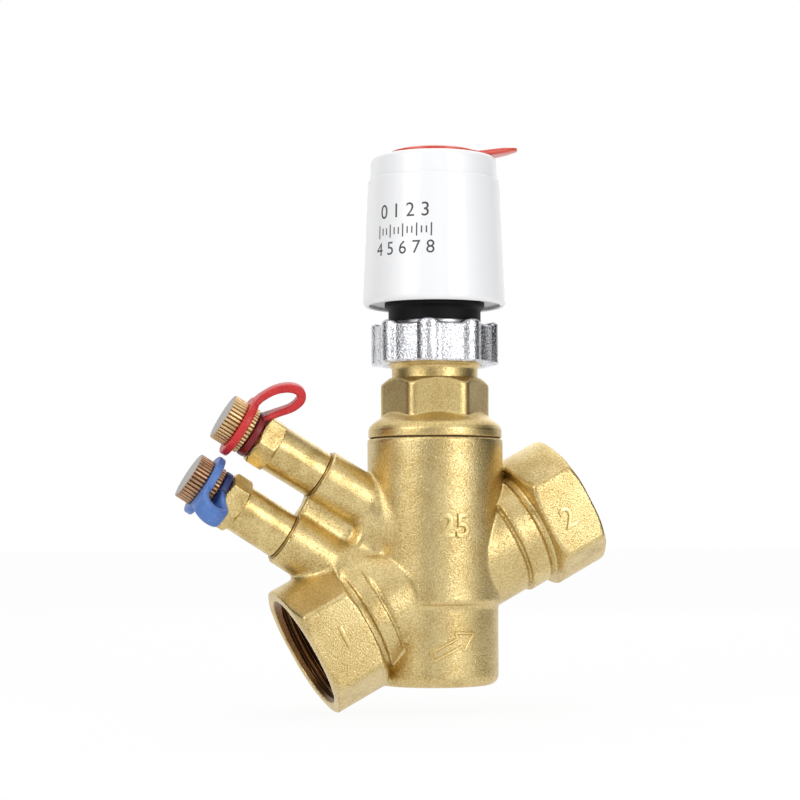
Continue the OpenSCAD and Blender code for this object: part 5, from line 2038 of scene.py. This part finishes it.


# Springs


@dataclass(frozen=True)
class Coil:
    """A round-wire spring between a piece that lifts and the fixed piece above it."""

    node: str
    body: Body
    joint: str
    travel: float
    wire: float
    turns: int

    def build(self, dresser: Dresser) -> None:
        """Makes the spring as a round bar carried along a helix.

        At an angle a the middle of the wire is (R cos a, R sin a, z0 + climb a / (2 pi turns)).

        Args:
            dresser: gives it its material and body.
        """
        low, high = (np.array(corner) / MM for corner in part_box(self.node))
        half = self.wire / 2
        mean_r = (high[0] - low[0]) / 2 - half
        a = np.linspace(0, 2 * np.pi * self.turns, 36 * self.turns + 1)[:, None]
        b = np.linspace(0, 2 * np.pi, 12, endpoint=False)[None, :]
        a = np.concatenate([a[:1], a, a[-1:]])
        size = np.concatenate([[[0]], np.full_like(a[2:], half), [[0]]])
        rise = (high[2] - low[2] - self.wire) / (2 * np.pi * self.turns)
        r = mean_r + size * np.cos(b)
        z = low[2] + half + rise * a + size * np.sin(b)
        grid = np.stack([r * np.cos(a), r * np.sin(a), z], -1)
        faces = quads(len(grid), grid.shape[1], False, True)
        obj = mesh_object(f"{self.node}_coil", grid.reshape(-1, 3), faces, 60.0)
        dresser.dress(obj, dresser.shelf.steel, self.body, [self.node])
        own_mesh(obj)


# Studio


@dataclass
class Studio:
    """Floor, plain soft lights, dark cards for the metal to mirror, and the camera.

    Lengths here are in metres, angles in degrees, and the lens and its shifts as the camera
    takes them.
    """

    azimuth: float = -16.5
    distance: float = 0.600
    height: float = 0.0126
    roll: float = -0.2
    lens: float = 91.125
    shift_x: float = -0.0441
    shift_y: float = 0.1675
    floor_gap: float = 0.0002
    floor_glow: float = 0.93
    world_light: float = 0.85

    def build(self) -> None:
        """Makes the floor, the lights and the camera."""
        scene = bpy.context.scene
        scene.view_settings.view_transform = "Standard"
        self.camera(scene)
        self.floor()
        self.world(scene)
        self.card("front_card", -33.0, 1.15, 0.6, 1.2, 0.06)
        self.card("left_card", -110.0, 0.95, 0.8, 1.4, 0.04)
        self.card("right_card", 84.0, 0.95, 1.0, 1.4, 0.03)
        self.card("near_strip", 3.0, 1.0, 0.15, 1.4, 0.03)
        self.card("far_strip", 38.0, 1.0, 0.15, 1.4, 0.03)
        self.lamp("key", (-0.62, -0.42, 0.36), 0.4, 1.5)
        self.lamp("fill", (0.30, -0.66, 0.22), 0.35, 1.3)
        self.lamp("top", (0.05, 0.1, 0.75), 0.6, 0.9)
        self.lamp("back", (0.25, 0.6, 0.35), 0.5, 0.5)

    def camera(self, scene: bpy.types.Scene) -> None:
        """Puts up the camera.

        It stands distance from the stem's axis, azimuth round it from -Y towards +X and height
        above the origin, looks level at the axis and is turned by roll about its own view.

        Args:
            scene: the scene that looks through it.
        """
        a = math.radians(self.azimuth)
        data = bpy.data.cameras.new("camera")
        data.lens = self.lens
        data.sensor_width = 36
        data.shift_x, data.shift_y = self.shift_x, self.shift_y
        data.clip_start, data.clip_end = 0.01, 20
        obj = bpy.data.objects.new("camera", data)
        look = Matrix.Rotation(a, 4, "Z") @ Matrix.Rotation(math.radians(90), 4, "X")
        spin = Matrix.Rotation(math.radians(self.roll), 4, "Z")
        place = Vector((self.distance * math.sin(a), -self.distance * math.cos(a), self.height))
        obj.matrix_world = Matrix.Translation(place) @ look @ spin
        scene.collection.objects.link(obj)
        scene.camera = obj

    def floor(self) -> None:
        """Makes a wide round floor under the valve, which looks white to the camera."""
        level = CAD_BOX[0][2] - self.floor_gap
        segments, radii = 96, (0.0, 0.5, 2.0, 6.0)
        a = np.linspace(0, 2 * np.pi, segments, endpoint=False)[:, None]
        r = np.array(radii)[None, :]
        grid = np.stack([r * np.cos(a), r * np.sin(a), level + 0 * r * a], -1) / MM
        faces = quads(segments, len(radii), True, False)
        obj = mesh_object("floor", grid.reshape(-1, 3), faces)
        if obj.data.polygons[0].normal.z < 0:
            obj.data.flip_normals()
        g = Graph("floor_paint")
        shade = g.noise(60.0, 2.0)
        color = g.mix(shade * 0.2, (0.93, 0.93, 0.93), (0.9, 0.9, 0.905))
        diffuse = g.node("ShaderNodeBsdfDiffuse", {}, {"Color": color})
        glow = g.node("ShaderNodeEmission", {}, {"Color": (1, 1, 1, 1), "Strength": 1.0})
        blend = g.node("ShaderNodeMixShader", {}, {
            0: self.seen(g, self.floor_glow), 1: diffuse.outputs[0], 2: glow.outputs[0]})
        g.node_link(blend)
        obj.data.materials.append(g.material)

    @staticmethod
    def seen(g: Graph, share: float) -> Value:
        """Tells the camera's view from other light.

        Args:
            g: the graph of the material.
            share: the number for the camera's view.

        Returns:
            The share where a ray comes straight, mirrored or through glass, otherwise 0.
        """
        path = g.node("ShaderNodeLightPath", {}, {})
        total = Value(g, path.outputs["Is Camera Ray"]) + Value(g, path.outputs["Is Glossy Ray"])
        total = total + Value(g, path.outputs["Is Transmission Ray"])
        return total.ramp(0.0, 1.0) * share

    def card(self, name: str, azimuth: float, away: float, wide: float, tall: float,
             tone: float) -> None:
        """Makes a dark upright card outside the picture, for the metal to mirror.

        Args:
            name: name of the card.
            azimuth: degrees round the stem from -Y towards +X.
            away: distance from the stem.
            wide: its width, in metres as the other lengths are.
            tall: its height.
            tone: its grey.
        """
        a = math.radians(azimuth)
        middle = np.array([away * math.sin(a), -away * math.cos(a), 0.1])
        side = np.array([math.cos(a), math.sin(a), 0.0]) * wide / 2
        up = np.array([0, 0, tall / 2])
        corners = np.array([middle - side - up, middle + side - up,
                            middle + side + up, middle - side + up]) / MM
        obj = mesh_object(name, corners, np.array([[0, 1, 2, 3]]))
        g = Graph(name)
        cloth = g.noise(40.0, 2.0)
        color = g.mix(cloth, (tone, tone, tone), (tone * 1.3, tone * 1.3, tone * 1.3))
        diffuse = g.node("ShaderNodeBsdfDiffuse", {}, {"Color": color})
        g.node_link(diffuse)
        obj.data.materials.append(g.material)
        obj.visible_camera = False

    def world(self, scene: bpy.types.Scene) -> None:
        """Makes the surround: white to the camera, and a plain lower light on the valve.

        Args:
            scene: the scene that it surrounds.
        """
        world = bpy.data.worlds.new("surround")
        scene.world = world
        world.use_nodes = True
        tree = world.node_tree
        tree.nodes.clear()
        out = tree.nodes.new("ShaderNodeOutputWorld")
        path = tree.nodes.new("ShaderNodeLightPath")
        seen = tree.nodes.new("ShaderNodeMath")
        seen.operation = "ADD"
        tree.links.new(path.outputs["Is Camera Ray"], seen.inputs[0])
        through = tree.nodes.new("ShaderNodeMath")
        through.operation = "ADD"
        tree.links.new(path.outputs["Is Glossy Ray"], through.inputs[0])
        tree.links.new(path.outputs["Is Transmission Ray"], through.inputs[1])
        tree.links.new(through.outputs[0], seen.inputs[1])
        plain = tree.nodes.new("ShaderNodeBackground")
        plain.inputs["Strength"].default_value = self.world_light
        white = tree.nodes.new("ShaderNodeBackground")
        white.inputs["Color"].default_value = (1, 1, 1, 1)
        plain.inputs["Color"].default_value = (1, 1, 1, 1)
        blend = tree.nodes.new("ShaderNodeMixShader")
        tree.links.new(seen.outputs[0], blend.inputs[0])
        tree.links.new(plain.outputs[0], blend.inputs[1])
        tree.links.new(white.outputs[0], blend.inputs[2])
        tree.links.new(blend.outputs[0], out.inputs[0])

    def lamp(self, name: str, place: tuple[float, float, float], size: float,
             power: float) -> None:
        """Makes one square soft light that faces the middle of the valve.

        Args:
            name: name of the lamp.
            place: its place in metres.
            size: its side in metres.
            power: its power in watts.
        """
        data = bpy.data.lights.new(name, "AREA")
        data.shape = "SQUARE"
        data.size = size
        data.energy = power
        obj = bpy.data.objects.new(name, data)
        target = Vector((0.0, 0.0, 0.04))
        away = Vector(place) - target
        turn = away.to_track_quat("Z", "Y").to_matrix().to_4x4()
        obj.matrix_world = Matrix.Translation(Vector(place)) @ turn
        bpy.context.scene.collection.objects.link(obj)


def dress_nodes(dresser: Dresser) -> None:
    """Gives every CAD node the material of its slot in the record.

    Args:
        dresser: holds the materials.
    """
    for row in frame["record"]["subparts"]:
        node = frame["nodes"][row["node"]]
        node.data.materials.clear()
        washer = row["node"].startswith("plug_washer")
        material = dresser.shelf.by_slot[Slot(row["material_slot"])]
        node.data.materials.append(dresser.shelf.washer if washer else material)


def main() -> None:
    """Builds the studio and the valve's pieces in order."""
    logging.basicConfig(level=logging.INFO, format="%(name)s: %(message)s")
    dresser = Dresser(Shelf())
    dress_nodes(dresser)
    Studio().build()
    Casting().build(dresser)
    Marks().build(dresser)
    Bonnet().build(dresser)
    UnionNut().build(dresser)
    Actuator().build(dresser)
    TestPlug("upper", UPPER_PLUG, 16.0, -17.0,
             ((27.6, 7.6), (26.7, 10.8), (24.6, 14.6), (21.6, 17.3), (18.6, 18.0), (17.0, 16.2),
              (17.8, 12.9), (20.5, 9.3), (23.2, 5.8)), 5.4,
             Body.UPPER_CAP, Body.UPPER_RING, Slot.RED_STRAP,
             ("strap_red", "strap_red_ring")).build(dresser)
    TestPlug("lower", LOWER_PLUG, -1.0, -120.0,
             ((27.6, 7.6), (27.4, 10.6), (26.0, 13.6), (23.6, 15.0), (21.2, 14.2), (20.6, 11.6),
              (21.8, 8.6), (23.2, 5.8)), 5.6,
             Body.LOWER_CAP, Body.LOWER_RING, Slot.BLUE_STRAP,
             ("strap_blue", "strap_blue_ring")).build(dresser)
    Coil("regulator_spring", Body.VALVE, "regulator_lift", 3.0, 1.4, 4).build(dresser)
    Coil("closing_spring", Body.ACTUATOR, "plunger_lift", 4.0, 2.0, 6).build(dresser)


if __name__ == "__main__":
    main()
